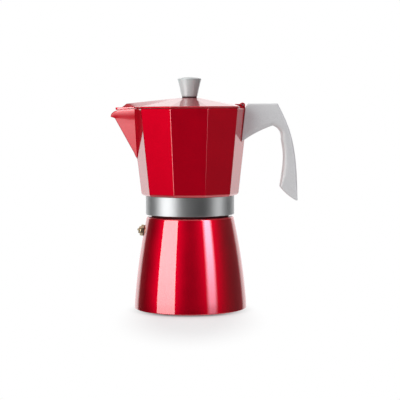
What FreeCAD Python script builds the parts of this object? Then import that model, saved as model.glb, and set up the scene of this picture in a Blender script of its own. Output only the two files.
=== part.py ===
"""Stovetop moka pot: a round tapered boiler, a ten-sided pouring head that screws onto it, and a hinged lid.

Millimetres, +Z up. The origin is the centre of the flat base on the pot's axis.
The spout points along -X and the handle along +X.
"""

import FreeCAD, Part
import math
import os

# General clearances
SEAT_GAP = 0.3                # between pieces that move past each other
PRESS_GAP = 0.02              # between pieces pressed or screwed together
PIN_GAP = 0.05                # running fit of the hinge pin and the valve stem
SCREW_HOLE_GAP = 0.2          # round a screw's shank or head where it passes freely
CUT_PAST = 1.0                # how far a cutting shape runs past the face it cuts

# Boiler: the tapered water vessel
BASE_RADIUS = 56.3            # widest radius, just above the foot
SHOULDER_HEIGHT = 92.2        # flat of the shoulder above the base
SHOULDER_WIDTH = 5.5          # from the neck out to the top of the side
SIDE_BOW = 1.5                # how far the side swells out of a straight taper
FOOT_ROUNDING = 3.0           # rounded edge between side and base
SHOULDER_ROUNDING = 2.2       # rounded edge between side and shoulder
BOILER_WALL = 3.2
BOILER_FLOOR = 4.0
MOUTH_RADIUS = 35.6           # bore of the neck
NECK_WALL = 2.8               # to the root of the neck's thread
NECK_LAND = 2.4               # plain neck above the thread
NECK_CHAMFER = 0.6

# Screw thread between neck and pouring head
THREAD_PITCH = 3.0
THREAD_DEPTH = 1.2
THREAD_ROOT_WIDTH = 1.7
THREAD_CREST_WIDTH = 0.8
THREAD_TURNS = 3
THREAD_START = 3.4            # first turn's centre above the shoulder
THREAD_CLEARANCE = 0.3
THREAD_SINK = 0.4             # how far a ridge's foot reaches behind its cylinder's face

# Coffee funnel: basket, stem and screen
FLANGE_INSET = 0.4            # flange's edge inside the neck's thread root
FLANGE_THICKNESS = 1.0
BASKET_GAP = 0.5              # between the basket and the boiler's mouth
BASKET_WALL = 1.2
BASKET_DEPTH = 23.0           # from the neck's top down to the screen's ledge
SCREEN_LEDGE = 1.2
BASKET_CONE_DROP = 10.0       # height of the basket's tapered bottom
STEM_RADIUS = 6.0
STEM_WALL = 1.2
STEM_SOCKET_LENGTH = 6.0
STEM_FLOOR_GAP = 3.0          # between the stem's lower end and the boiler's floor
SCREEN_THICKNESS = 0.7
SCREEN_HOLE_RADIUS = 0.6
SCREEN_HOLE_STEP = 3.6        # ring spacing of the holes
SCREEN_BORDER = 3.0           # plain edge outside the holes
HOLES_PER_RING = 6            # added with each ring outwards

# Gasket and filter plate under the pouring head
GASKET_THICKNESS = 4.0
GASKET_WIDTH = 6.9
PLATE_THICKNESS = 0.8
PLATE_OVERLAP = 2.1           # how far the plate's edge lies on the gasket

# Pouring head: ten-sided chamber with a threaded skirt
SIDES = 10
HEAD_HEIGHT = 86.5            # chamber from its underside to the rim
HEAD_FLARE = 9.63             # how much wider the corners are at the rim
WAIST_STEP = 5.47             # from the skirt out to the chamber's lower corners
BOTTOM_EDGE = 2.2             # chamfer round the chamber's lower edge
HEAD_WALL = 3.0
HEAD_FLOOR = 4.5              # floor above the filter plate's recess
FLOOR_SET_UP = 4.6            # floor's top above the chamber's underside
SKIRT_GAP = 2.0               # between the skirt and the boiler's shoulder
SKIRT_WALL = 3.3              # outside the thread
BAND_THICKNESS = 1.0          # bright band pressed over the skirt
BAND_CHAMFER = (0.3, 0.3)     # across and along the band's lower edge
COFFEE_CONE_RADIUS = 29.0     # mouth of the cone that gathers coffee under the floor
BOSS_RADIUS = 10.5
BOSS_HEIGHT = 9.5             # boss at the column's foot above the floor
BOSS_LAND = 1.0               # straight top of the boss

# Coffee column inside the chamber
COLUMN_FOOT_RADIUS = 8.6
COLUMN_TIP_RADIUS = 5.8
COLUMN_BORE = 4.6
COLUMN_BELOW_RIM = 11.5
COLUMN_PLUG_RADIUS = 7.2
COLUMN_PLUG_LENGTH = 5.5
COLUMN_CROWN = 2.9            # rounding of the closed end
COLUMN_CAP = 3.0              # closed end above the side windows
WINDOW_WIDTH = 7.0
WINDOW_HEIGHT = 7.0

# Spout, measured from the chamber's corner on -X and from its rim
SPOUT_REACH = 22.8            # keel line at rim height, out from the corner
SPOUT_HALF_WIDTH = 12.0       # where the spout's side meets the chamber at the rim
SPOUT_DEPTH = 52.5            # where the keel runs into the corner, below the rim
SPOUT_WALL = 2.2
SPOUT_BITE = 2.7              # how far the spout's walls run into the chamber's wall
LIP_REACH = 21.9
LIP_HEIGHT = 8.7              # flared lip band below the rim
LIP_FLARE = 0.7               # extra half width of the lip band at the chamber
# Falling edge of the lip as (out, down) from the rim's corner
LIP_EDGE = ((7.7, 0.3), (11.7, 0.9), (14.2, 1.5), (17.0, 2.4), (19.3, 4.2), (20.3, 5.9), (21.6, 8.2))

# Lid, measured from the chamber's rim
LID_OVERHANG = 0.3
LID_GAP = 0.4                 # between lid and rim
LID_EDGE = 1.5                # height of the lid's upright edge
LID_WALL = 1.8
LID_BRIM = 0.6                # flat brim between the edge and the roof
LID_RISE = 8.8                # roof from brim to the knob's seat
PEAK_RADIUS = 9.6             # flat seat of the knob
BEAK_REACH = 16.0             # tip of the lid over the spout, out from the lid's corner
BEAK_HALF_WIDTH = 13.2
RIDGE_REACH = 4.2             # end of the beak's ridge, out from the lid's corner
RIDGE_RISE = 3.4              # end of the ridge above the brim
RIDGE_FOOT = 8.9              # where the beak's steep end meets the brim, out from the lid's corner

# Hinge, measured from the chamber's corner on +X and from its rim
HINGE_INSET = 5.7
HINGE_RISE = 3.1
KNUCKLE_RADIUS = 2.4
KNUCKLE_HALF = 4.7
EAR_RADIUS = 2.6
EAR_THICKNESS = 3.6
EAR_GAP = 0.3
PIN_RADIUS = 1.2
LID_BACK_GAP = 3.7            # from the hinge axis to the lid's straight back edge
TAB_THICKNESS = 2.4
TAB_LENGTH = 7.4
DECK_DEPTH = 10.0             # solid corner under the hinge, below the rim
DECK_REACH = 4.8              # how far the deck comes in front of the hinge axis

# Handle: its side view as (out, up) from the chamber's corner on +X at the rim
HANDLE_GAP = 0.5              # shadow gap between handle and chamber
HANDLE_TOP_HALF = 12.6        # half width at the top of the arm
HANDLE_TIP_HALF = 8.4         # half width at the lower tip
HANDLE_ROUNDING = 2.0
ARM_START = (0.1, 4.5)
ARM_END = (29.0, 4.5)
BACK_UPPER = (40.6, -21.0)
BACK_LOWER = (46.6, -47.5)
TIP_OUTER = (48.8, -91.8)
TIP_INNER = (47.3, -91.8)
TIP_HOLLOW = (38.9, -86.1)
HEEL = (31.6, -78.2)
GRIP_MIDDLE = (34.5, -56.5)
GRIP_TOP = (33.0, -30.5)
CROOK_MIDDLE = (30.1, -20.6)
CROOK_END = (23.9, -17.2)
ROOT_INSET = 8.3              # the root's blank end, in from the corner before the chamber is cut away
ROOT_TOP_DROP = 9.0           # where the root's slanted upper end starts, below the rim
UNDERSIDE_OUT = 11.7          # a place half way along the arm's underside
UNDERSIDE_COVER = 0.7         # that place below the lug's underside
ROOT_COVER = 12.8             # the root's lower end below the lug's underside

# Lug inside the handle, and the screw that holds the two together
LUG_REACH = 7.7               # out from the chamber's corner at the rim
LUG_HALF_WIDTH = 5.5
LUG_BELOW_RIM = 6.5
LUG_HEIGHT = 15.0
LUG_GAP = 0.25
SCREW_OUT = 1.4               # screw's axis, out from the chamber's corner at the rim
SCREW_RADIUS = 2.0
SCREW_HEAD_RADIUS = 3.0
SCREW_HEAD_HEIGHT = 1.8
SCREW_SEAT_WALL = 1.8         # handle's wall between the lug's socket and the screw's head
SCREW_IN_LUG = 11.0
SOCKET_RADIUS = 1.3           # key socket in a screw's head
SOCKET_DEPTH = 1.1

# Knob, its washer and its screw
WASHER_RADIUS = 7.3
WASHER_THICKNESS = 1.2
KNOB_FOOT_RADIUS = 7.9
KNOB_TOP_RADIUS = 12.0
KNOB_HEIGHT = 17.7            # from foot to the rounded top edge
KNOB_CROWN = 1.7
KNOB_SCREW_RADIUS = 1.7
KNOB_SCREW_REACH = 10.0       # screw inside the knob
KNOB_SCREW_HEAD_RADIUS = 3.4
KNOB_SCREW_HEAD_HEIGHT = 2.2

# Relief valve
VALVE_BELOW_SHOULDER = 14.5
VALVE_HEX = 10.0              # across flats
VALVE_HEX_THICKNESS = 3.2
VALVE_SHANK_RADIUS = 4.2
VALVE_SHANK_INSIDE = 2.6      # shank that stands inside the boiler
VALVE_SEAL_RADIUS = 5.4
VALVE_SEAL_THICKNESS = 0.8
VALVE_SPOT_DEPTH = 0.5        # flat cut into the boiler's side under the seal
VALVE_SPOT_MARGIN = 0.8       # flat round the seal
VALVE_BORE = 2.9
VALVE_PORT = 1.3
VALVE_END_WALL = 1.2
VALVE_CAP_RADIUS = 3.6
VALVE_CAP_THICKNESS = 1.8
VALVE_CAP_CHAMFER = 0.45
VALVE_CAP_PLUG = 1.0
PLUNGER_HEAD_RADIUS = 2.6
PLUNGER_HEAD_LENGTH = 2.0
PLUNGER_STEM_RADIUS = 1.2
PLUNGER_NIB = 1.3             # stem that shows outside the cap
PLUNGER_CHAMFER = 0.4
SPRING_RADIUS = 2.2
SPRING_WIRE = 0.3
SPRING_TURNS = 3.5

# Radii and heights that follow from the values above
NECK_RADIUS = MOUTH_RADIUS + NECK_WALL
SHOULDER_RADIUS = NECK_RADIUS + SHOULDER_WIDTH
HEAD_BORE = NECK_RADIUS + THREAD_CLEARANCE
THREAD_BORE = HEAD_BORE + THREAD_DEPTH
THREAD_LOW = SHOULDER_HEIGHT + THREAD_START
THREAD_HIGH = THREAD_LOW + THREAD_TURNS * THREAD_PITCH
THREAD_TOP = THREAD_HIGH + THREAD_ROOT_WIDTH
NECK_TOP = THREAD_HIGH + NECK_LAND
BASKET_RADIUS = MOUTH_RADIUS - BASKET_GAP
BASKET_INSIDE = BASKET_RADIUS - BASKET_WALL
LEDGE_HEIGHT = NECK_TOP - BASKET_DEPTH
SOCKET_HEIGHT = LEDGE_HEIGHT - BASKET_CONE_DROP
STEM_BORE = STEM_RADIUS - STEM_WALL
FLANGE_RADIUS = NECK_RADIUS - FLANGE_INSET
FLANGE_TOP = NECK_TOP + FLANGE_THICKNESS
GASKET_RADIUS = HEAD_BORE - SEAT_GAP
GASKET_BORE = GASKET_RADIUS - GASKET_WIDTH
GASKET_TOP = FLANGE_TOP + GASKET_THICKNESS
PLATE_RADIUS = GASKET_BORE + PLATE_OVERLAP
RECESS_TOP = GASKET_TOP + PLATE_THICKNESS + SEAT_GAP
FLOOR_TOP = RECESS_TOP + HEAD_FLOOR
HEAD_BOTTOM = FLOOR_TOP - FLOOR_SET_UP
SKIRT_BOTTOM = SHOULDER_HEIGHT + SKIRT_GAP
SKIRT_RADIUS = THREAD_BORE + SKIRT_WALL
WAIST_RADIUS = SKIRT_RADIUS + WAIST_STEP
RIM_RADIUS = WAIST_RADIUS + HEAD_FLARE
RIM_HEIGHT = HEAD_BOTTOM + HEAD_HEIGHT
BOSS_TOP = FLOOR_TOP + BOSS_HEIGHT
COLUMN_TOP = RIM_HEIGHT - COLUMN_BELOW_RIM
LID_RADIUS = RIM_RADIUS + LID_OVERHANG
LID_BOTTOM = RIM_HEIGHT + LID_GAP
LID_BRIM_TOP = LID_BOTTOM + LID_EDGE
PEAK_HEIGHT = LID_BRIM_TOP + LID_RISE
HINGE_X = RIM_RADIUS - HINGE_INSET
HINGE_Z = RIM_HEIGHT + HINGE_RISE
EAR_INNER = KNUCKLE_HALF + EAR_GAP
EAR_OUTER = EAR_INNER + EAR_THICKNESS
LUG_TOP = RIM_HEIGHT - LUG_BELOW_RIM
LUG_BOTTOM = LUG_TOP - LUG_HEIGHT
LUG_DROP = LUG_BELOW_RIM + LUG_HEIGHT
UNDERSIDE_MIDDLE = (UNDERSIDE_OUT, -LUG_DROP - UNDERSIDE_COVER)
ROOT_LOW = (-ROOT_INSET, -LUG_DROP - ROOT_COVER)
ROOT_HIGH = (-ROOT_INSET, -ROOT_TOP_DROP)
SCREW_X = RIM_RADIUS + SCREW_OUT
SCREW_SEAT = LUG_BOTTOM - LUG_GAP - SCREW_SEAT_WALL
KNOB_FOOT = PEAK_HEIGHT + WASHER_THICKNESS
VALVE_HEIGHT = SHOULDER_HEIGHT - VALVE_BELOW_SHOULDER
VALVE_INNER_END = -(BOILER_WALL + VALVE_SHANK_INSIDE)
VALVE_SEAT = VALVE_INNER_END + VALVE_END_WALL
VALVE_HEX_TOP = VALVE_SEAL_THICKNESS + VALVE_HEX_THICKNESS
HALF_SIDE = math.pi / SIDES
Z_AXIS = FreeCAD.Vector(0, 0, 1)


def point(x, y, z):
    return FreeCAD.Vector(x, y, z)


def in_xz(x, z):
    return FreeCAD.Vector(x, 0, z)


def arc(start, middle, end):
    """Arc through three (x, z) points."""
    return Part.Arc(in_xz(*start), in_xz(*middle), in_xz(*end)).toShape()


def line(start, end):
    """Line between two (x, z) points."""
    return Part.makeLine(in_xz(*start), in_xz(*end))


def lines(*places):
    """Lines through (x, z) points."""
    return [line(a, b) for a, b in zip(places, places[1:])]


def rounded_corner(corner, before, after):
    """Round from one (x, z) point to another, bulging towards their shared corner."""
    away = 1 - math.sqrt(0.5)
    middle = [c + away * (b + a - 2 * c) for c, b, a in zip(corner, before, after)]
    return arc(before, middle, after)


def turned(edges):
    """Solid of revolution about Z from a closed outline in the XZ plane."""
    return Part.Face(Part.Wire(edges)).revolve(point(0, 0, 0), Z_AXIS, 360)


def turned_outline(*places):
    """Solid of revolution about Z from a closed polygon of (radius, z) points."""
    return turned(lines(*places, places[0]))


def rod(radius, low, high, x=0.0):
    """Upright cylinder from one height to another."""
    return Part.makeCylinder(radius, high - low, point(x, 0, low), Z_AXIS)


def tube(radius, bore, low, high):
    return rod(radius, low, high).cut(rod(bore, low, high))


def cross_rod(radius, low, high, x, z):
    """Cylinder along Y from one side to the other."""
    return Part.makeCylinder(radius, high - low, point(x, low, z), point(0, 1, 0))


def block(low, high):
    size = [b - a for a, b in zip(low, high)]
    return Part.makeBox(*size, point(*low))


def upright(corners, height):
    """Prism on a flat polygon, straight up."""
    return Part.Face(Part.makePolygon([*corners, corners[0]])).extrude(point(0, 0, height))


def across(edges, half):
    """Outline in the XZ plane, made a prism along Y and centred on that plane."""
    face = Part.Face(Part.Wire(edges))
    face.translate(point(0, -half, 0))
    return face.extrude(point(0, 2 * half, 0))


def solid_of(faces):
    """Solid bounded by flat polygons, given as lists of points."""
    sheets = [Part.Face(Part.makePolygon([*corners, corners[0]])) for corners in faces]
    solid = Part.makeSolid(Part.makeShell(sheets))
    if solid.Volume < 0:
        solid.reverse()
    return solid


def polygon_corners(sides, radius, z, x=0.0):
    """Corners of a regular polygon at a height, the first one towards +X."""
    step = 2 * math.pi / sides
    return [point(x + radius * math.cos(step * i), radius * math.sin(step * i), z) for i in range(sides)]


def many_sided_solid(*sections):
    """Flat-sided solid through (across-corner radius, z) sections."""
    wires = []
    for radius, z in sections:
        corners = polygon_corners(SIDES, radius, z)
        wires.append(Part.makePolygon([*corners, corners[0]]))
    return Part.makeLoft(wires, True, True)


def corner_radius(z):
    """The chamber's across-corner radius at a height."""
    low = HEAD_BOTTOM + BOTTOM_EDGE
    return WAIST_RADIUS + HEAD_FLARE * (z - low) / (RIM_HEIGHT - low)


def facet_x(y, radius):
    """How far a facet beside the X axis lies out along X, at a sideways distance y."""
    return radius - y * math.tan(HALF_SIDE)


def side_radius(z):
    """The boiler's outer radius at a height."""
    low = FOOT_ROUNDING
    high = SHOULDER_HEIGHT - SHOULDER_ROUNDING
    t = (z - low) / (high - low)
    return BASE_RADIUS + (SHOULDER_RADIUS - BASE_RADIUS) * t + 4 * SIDE_BOW * t * (1 - t)


def thread(root, depth, start, turns):
    """Helical ridge on a cylinder, outwards or, with a negative depth, inwards.

    Its flanks run on behind the cylinder's face, so that the two join.
    """
    flank = (THREAD_ROOT_WIDTH - THREAD_CREST_WIDTH) / 2 / THREAD_DEPTH
    foot = root - math.copysign(THREAD_SINK, depth)
    foot_half = THREAD_ROOT_WIDTH / 2 + flank * THREAD_SINK
    crest = root + depth
    crest_half = THREAD_CREST_WIDTH / 2
    outline = [(foot, -foot_half), (crest, -crest_half), (crest, crest_half), (foot, foot_half)]
    spine = Part.makeHelix(THREAD_PITCH, turns * THREAD_PITCH, root)
    section = Part.Wire(lines(*outline, outline[0]))
    ridge = Part.Wire(spine.Edges).makePipeShell([section], True, True)
    ridge.translate(point(0, 0, start))
    return ridge


def boiler_shell():
    """Vessel with its shoulder and neck, turned in one piece."""
    low = FOOT_ROUNDING
    high = SHOULDER_HEIGHT - SHOULDER_ROUNDING
    middle = (low + high) / 2
    foot = (BASE_RADIUS - FOOT_ROUNDING, 0)
    side_low = (BASE_RADIUS, low)
    side_high = (SHOULDER_RADIUS, high)
    shoulder = (SHOULDER_RADIUS - SHOULDER_ROUNDING, SHOULDER_HEIGHT)
    inner_low_z = BOILER_FLOOR + FOOT_ROUNDING
    inner_high_z = high - BOILER_WALL
    inner_middle_z = (inner_low_z + inner_high_z) / 2
    inner_low = (side_radius(inner_low_z) - BOILER_WALL, inner_low_z)
    inner_middle = (side_radius(inner_middle_z) - BOILER_WALL, inner_middle_z)
    inner_high = (side_radius(inner_high_z) - BOILER_WALL, inner_high_z)
    floor_edge = (inner_low[0] - FOOT_ROUNDING, BOILER_FLOOR)
    return turned([
        *lines((0, BOILER_FLOOR), (0, 0), foot),
        rounded_corner((BASE_RADIUS, 0), foot, side_low),
        arc(side_low, (side_radius(middle), middle), side_high),
        rounded_corner((SHOULDER_RADIUS, SHOULDER_HEIGHT), side_high, shoulder),
        *lines(
            shoulder,
            (NECK_RADIUS, SHOULDER_HEIGHT),
            (NECK_RADIUS, NECK_TOP - NECK_CHAMFER),
            (NECK_RADIUS - NECK_CHAMFER, NECK_TOP),
            (MOUTH_RADIUS, NECK_TOP),
            (MOUTH_RADIUS, SHOULDER_HEIGHT - BOILER_WALL / 2),
            inner_high,
        ),
        arc(inner_high, inner_middle, inner_low),
        rounded_corner((inner_low[0], BOILER_FLOOR), inner_low, floor_edge),
        line(floor_edge, (0, BOILER_FLOOR)),
    ])


def on_valve_axis(shape):
    """Puts a shape built along +Z, from the valve's seat at z = 0, square onto the boiler's side."""
    step = VALVE_HEX / 2
    fall = side_radius(VALVE_HEIGHT - step) - side_radius(VALVE_HEIGHT + step)
    lean = math.atan2(fall, 2 * step)
    shape.rotate(point(0, 0, 0), point(0, 1, 0), math.degrees(lean) - 90)
    shape.translate(point(VALVE_SPOT_DEPTH * math.cos(lean) - side_radius(VALVE_HEIGHT), 0,
                          VALVE_HEIGHT - VALVE_SPOT_DEPTH * math.sin(lean)))
    return shape


def boiler():
    ridge = thread(NECK_RADIUS, THREAD_DEPTH, THREAD_LOW, THREAD_TURNS)
    hole = rod(VALVE_SHANK_RADIUS + PRESS_GAP, VALVE_INNER_END, CUT_PAST)
    spot = rod(VALVE_SEAL_RADIUS + VALVE_SPOT_MARGIN, 0, VALVE_HEX_TOP)
    return boiler_shell().fuse(ridge).cut(on_valve_axis(hole.fuse(spot)))


def valve_housing():
    shank = rod(VALVE_SHANK_RADIUS, VALVE_INNER_END, VALVE_HEX_TOP)
    corner = VALVE_HEX / 2 / math.cos(math.pi / 6)
    hexagon = upright(polygon_corners(6, corner, VALVE_SEAL_THICKNESS), VALVE_HEX_THICKNESS)
    bore = rod(VALVE_BORE, VALVE_SEAT, VALVE_HEX_TOP)
    port = rod(VALVE_PORT, VALVE_INNER_END, VALVE_SEAT)
    return on_valve_axis(shank.fuse(hexagon).cut(bore.fuse(port)))


def valve_seal():
    return on_valve_axis(tube(VALVE_SEAL_RADIUS, VALVE_SHANK_RADIUS + PRESS_GAP, 0, VALVE_SEAL_THICKNESS))


def valve_cap():
    low = VALVE_HEX_TOP
    high = low + VALVE_CAP_THICKNESS
    cap = turned_outline(
        (0, low), (VALVE_CAP_RADIUS, low), (VALVE_CAP_RADIUS, high - VALVE_CAP_CHAMFER),
        (VALVE_CAP_RADIUS - VALVE_CAP_CHAMFER, high), (0, high),
    )
    plug = rod(VALVE_BORE - PRESS_GAP, low - VALVE_CAP_PLUG, low)
    stem_hole = rod(PLUNGER_STEM_RADIUS + PIN_GAP, low - VALVE_CAP_PLUG, high)
    return on_valve_axis(cap.fuse(plug).cut(stem_hole))


def valve_plunger():
    head_top = VALVE_SEAT + PLUNGER_HEAD_LENGTH
    high = VALVE_HEX_TOP + VALVE_CAP_THICKNESS + PLUNGER_NIB
    return on_valve_axis(turned_outline(
        (0, VALVE_SEAT), (PLUNGER_HEAD_RADIUS, VALVE_SEAT), (PLUNGER_HEAD_RADIUS, head_top),
        (PLUNGER_STEM_RADIUS, head_top), (PLUNGER_STEM_RADIUS, high - PLUNGER_CHAMFER),
        (PLUNGER_STEM_RADIUS - PLUNGER_CHAMFER, high), (0, high),
    ))


def arc_leaving(start, heading, end):
    """Arc from one point to another that sets off along a heading."""
    chord = end - start
    along = FreeCAD.Vector(chord).normalize()
    aside = heading - along * heading.dot(along)
    height = chord.Length / 2 * math.tan(heading.getAngle(chord) / 2)
    middle = (start + end) * 0.5 + aside.normalize() * height
    return Part.Arc(start, middle, end).toShape()


def coil_path(radius, low, high, turns):
    """Rising coil about Z, of arcs that join smoothly, two to each quarter turn, and its first heading."""
    quarters = round(4 * turns)
    climb = (high - low) / (2 * math.pi * turns)
    places = []
    for i in range(quarters + 1):
        turn = math.pi / 2 * i
        place = point(radius * math.cos(turn), radius * math.sin(turn), low + climb * turn)
        heading = point(-radius * math.sin(turn), radius * math.cos(turn), climb).normalize()
        places.append((place, heading))
    arcs = []
    for (start, leaving), (end, arriving) in zip(places, places[1:]):
        span = end - start
        both = leaving + arriving
        spread = 2 * (1 - leaving.dot(arriving))
        reach = (math.sqrt(span.dot(both) ** 2 + spread * span.dot(span)) - span.dot(both)) / spread
        middle = (start + leaving * reach + end - arriving * reach) * 0.5
        arcs.append(arc_leaving(start, leaving, middle))
        arcs.append(arc_leaving(end, arriving * -1, middle))
    return Part.Wire(arcs), places[0][1]


def valve_spring():
    low = VALVE_SEAT + PLUNGER_HEAD_LENGTH + SPRING_WIRE + PRESS_GAP
    high = VALVE_HEX_TOP - VALVE_CAP_PLUG - SPRING_WIRE - PRESS_GAP
    spine, heading = coil_path(SPRING_RADIUS, low, high, SPRING_TURNS)
    wire = Part.Wire(Part.makeCircle(SPRING_WIRE, point(SPRING_RADIUS, 0, low), heading))
    return on_valve_axis(spine.makePipeShell([wire], True, False))


def funnel_basket():
    socket = STEM_RADIUS + PRESS_GAP
    socket_outside = socket + BASKET_WALL
    stem_stop = SOCKET_HEIGHT - BASKET_WALL
    return turned_outline(
        (BASKET_INSIDE, FLANGE_TOP), (FLANGE_RADIUS, FLANGE_TOP), (FLANGE_RADIUS, NECK_TOP),
        (BASKET_RADIUS, NECK_TOP), (BASKET_RADIUS, LEDGE_HEIGHT - BASKET_WALL),
        (socket_outside, stem_stop), (socket_outside, SOCKET_HEIGHT - STEM_SOCKET_LENGTH),
        (socket, SOCKET_HEIGHT - STEM_SOCKET_LENGTH), (socket, stem_stop),
        (STEM_BORE, stem_stop), (STEM_BORE, SOCKET_HEIGHT),
        (BASKET_INSIDE - SCREEN_LEDGE, LEDGE_HEIGHT), (BASKET_INSIDE, LEDGE_HEIGHT),
    )


def funnel_stem():
    return tube(STEM_RADIUS, STEM_BORE, BOILER_FLOOR + STEM_FLOOR_GAP, SOCKET_HEIGHT - BASKET_WALL)


def perforated_disc(radius, thickness, low):
    """Thin disc with rings of round holes."""
    outlines = [Part.Wire(Part.makeCircle(radius, point(0, 0, low)))]
    rings = int((radius - SCREEN_BORDER) / SCREEN_HOLE_STEP)
    for ring in range(1, rings + 1):
        for place in polygon_corners(HOLES_PER_RING * ring, SCREEN_HOLE_STEP * ring, low):
            outlines.append(Part.Wire(Part.makeCircle(SCREEN_HOLE_RADIUS, place)))
    disc = Part.Face(outlines, "Part::FaceMakerBullseye")
    return disc.extrude(point(0, 0, thickness))


def basket_screen():
    return perforated_disc(BASKET_INSIDE - SEAT_GAP, SCREEN_THICKNESS, LEDGE_HEIGHT)


def gasket():
    return tube(GASKET_RADIUS, GASKET_BORE, FLANGE_TOP, GASKET_TOP)


def filter_plate():
    return perforated_disc(PLATE_RADIUS, PLATE_THICKNESS, GASKET_TOP)


def chamber_outside(grow=0.0):
    """Ten-sided outside of the chamber, or the same with its walls moved out."""
    out = grow / math.cos(HALF_SIDE)
    return many_sided_solid(
        (WAIST_RADIUS - BOTTOM_EDGE + out, HEAD_BOTTOM - grow),
        (WAIST_RADIUS + out, HEAD_BOTTOM + BOTTOM_EDGE - grow),
        (RIM_RADIUS + out, RIM_HEIGHT),
    )


def chamber_inside():
    """Ten-sided hollow above a floor that rises to the column's boss, short of the deck under the hinge."""
    wall = HEAD_WALL / math.cos(HALF_SIDE)
    above = RIM_HEIGHT + CUT_PAST
    hollow = many_sided_solid(
        (corner_radius(FLOOR_TOP) - wall, FLOOR_TOP),
        (corner_radius(above) - wall, above),
    )
    raised = turned_outline(
        (0, FLOOR_TOP - CUT_PAST), (COFFEE_CONE_RADIUS, FLOOR_TOP - CUT_PAST),
        (COFFEE_CONE_RADIUS, FLOOR_TOP), (BOSS_RADIUS, BOSS_TOP - BOSS_LAND),
        (BOSS_RADIUS, BOSS_TOP), (0, BOSS_TOP),
    )
    deck_low = (HINGE_X - DECK_REACH, -RIM_RADIUS, RIM_HEIGHT - DECK_DEPTH)
    deck = block(deck_low, (RIM_RADIUS, RIM_RADIUS, RIM_HEIGHT))
    return hollow.cut(raised.fuse(deck))


def head_underside():
    """Threaded bore, gasket's bore, filter plate's recess, coffee cone and the column's hole."""
    recess = PLATE_RADIUS + SEAT_GAP
    return turned_outline(
        (0, SKIRT_BOTTOM), (THREAD_BORE, SKIRT_BOTTOM), (THREAD_BORE, THREAD_TOP), (HEAD_BORE, THREAD_TOP),
        (HEAD_BORE, GASKET_TOP), (recess, GASKET_TOP), (recess, RECESS_TOP),
        (COFFEE_CONE_RADIUS, RECESS_TOP), (COLUMN_PLUG_RADIUS, BOSS_TOP - COLUMN_PLUG_LENGTH),
        (COLUMN_PLUG_RADIUS, BOSS_TOP), (0, BOSS_TOP),
    )


def head_thread():
    """Ridge inside the skirt, half a pitch away from the neck's own."""
    return thread(THREAD_BORE, -THREAD_DEPTH, THREAD_LOW + THREAD_PITCH / 2, THREAD_TURNS - 0.5)


def wedge(tip_x, slope, back_x, keel):
    """Spout-shaped wedge under the rim: tip on -X, sides at a slope, and a keel down to its flat back."""
    length = tip_x - back_x
    tip = point(-tip_x, 0, RIM_HEIGHT)
    left = point(-back_x, length * slope, RIM_HEIGHT)
    right = point(-back_x, -length * slope, RIM_HEIGHT)
    foot = point(-back_x, 0, RIM_HEIGHT - length / keel)
    return solid_of([[tip, left, right], [tip, foot, left], [tip, right, foot], [left, foot, right]])


def lip_prism(tip_x, slope, back_x, low, high):
    """Upright prism in the lip's plan: tip on -X and sides at a slope."""
    half = (tip_x - back_x) * slope
    corners = [point(-tip_x, 0, low), point(-back_x, half, low), point(-back_x, -half, low)]
    return upright(corners, high - low)


def spout():
    """The spout's outside, and the space inside it that opens into the chamber."""
    tip_x = RIM_RADIUS + SPOUT_REACH
    meet_x = facet_x(SPOUT_HALF_WIDTH, RIM_RADIUS)
    slope = SPOUT_HALF_WIDTH / (tip_x - meet_x)
    keel = (tip_x - corner_radius(RIM_HEIGHT - SPOUT_DEPTH)) / SPOUT_DEPTH
    lip_x = RIM_RADIUS + LIP_REACH
    lip_half = SPOUT_HALF_WIDTH + LIP_FLARE
    lip_slope = lip_half / (lip_x - facet_x(lip_half, RIM_RADIUS))
    lip_low = RIM_HEIGHT - LIP_HEIGHT
    back_x = meet_x - SPOUT_BITE
    outside = wedge(tip_x, slope, back_x, keel)
    outside = outside.fuse(lip_prism(lip_x, lip_slope, back_x, lip_low, RIM_HEIGHT))
    into_x = back_x - 2 * HEAD_WALL
    inside = wedge(tip_x - SPOUT_WALL / math.sin(math.atan(slope)), slope, into_x, keel)
    lip_inside = lip_prism(lip_x - SPOUT_WALL / math.sin(math.atan(lip_slope)), lip_slope, into_x,
                           lip_low + SPOUT_WALL, RIM_HEIGHT + CUT_PAST)
    return outside.cut(above_lip()), inside.fuse(lip_inside)


def above_lip():
    """Everything above the lip's falling edge."""
    high = RIM_HEIGHT + CUT_PAST
    edge = [(-RIM_RADIUS - out, RIM_HEIGHT - down) for out, down in LIP_EDGE]
    far_x = edge[-1][0] - SPOUT_REACH
    outline = [(edge[0][0], high), *edge, (far_x, edge[-1][1]), (far_x, high)]
    return across(lines(*outline, outline[0]), RIM_RADIUS)


def hinge_ears():
    ears = []
    for low, high in ((-EAR_OUTER, -EAR_INNER), (EAR_INNER, EAR_OUTER)):
        foot_low = (HINGE_X - EAR_RADIUS, low, RIM_HEIGHT - CUT_PAST)
        foot = block(foot_low, (HINGE_X + EAR_RADIUS, high, HINGE_Z))
        ears.append(foot.fuse(cross_rod(EAR_RADIUS, low, high, HINGE_X, HINGE_Z)))
    return ears


def handle_lug(gap=0.0):
    """Lug on the chamber's corner, or with a gap the socket for it."""
    inner = corner_radius(LUG_BOTTOM) - HEAD_WALL
    half = LUG_HALF_WIDTH + gap
    return block((inner, -half, LUG_BOTTOM - gap), (RIM_RADIUS + LUG_REACH + gap, half, LUG_TOP + gap))


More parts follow.
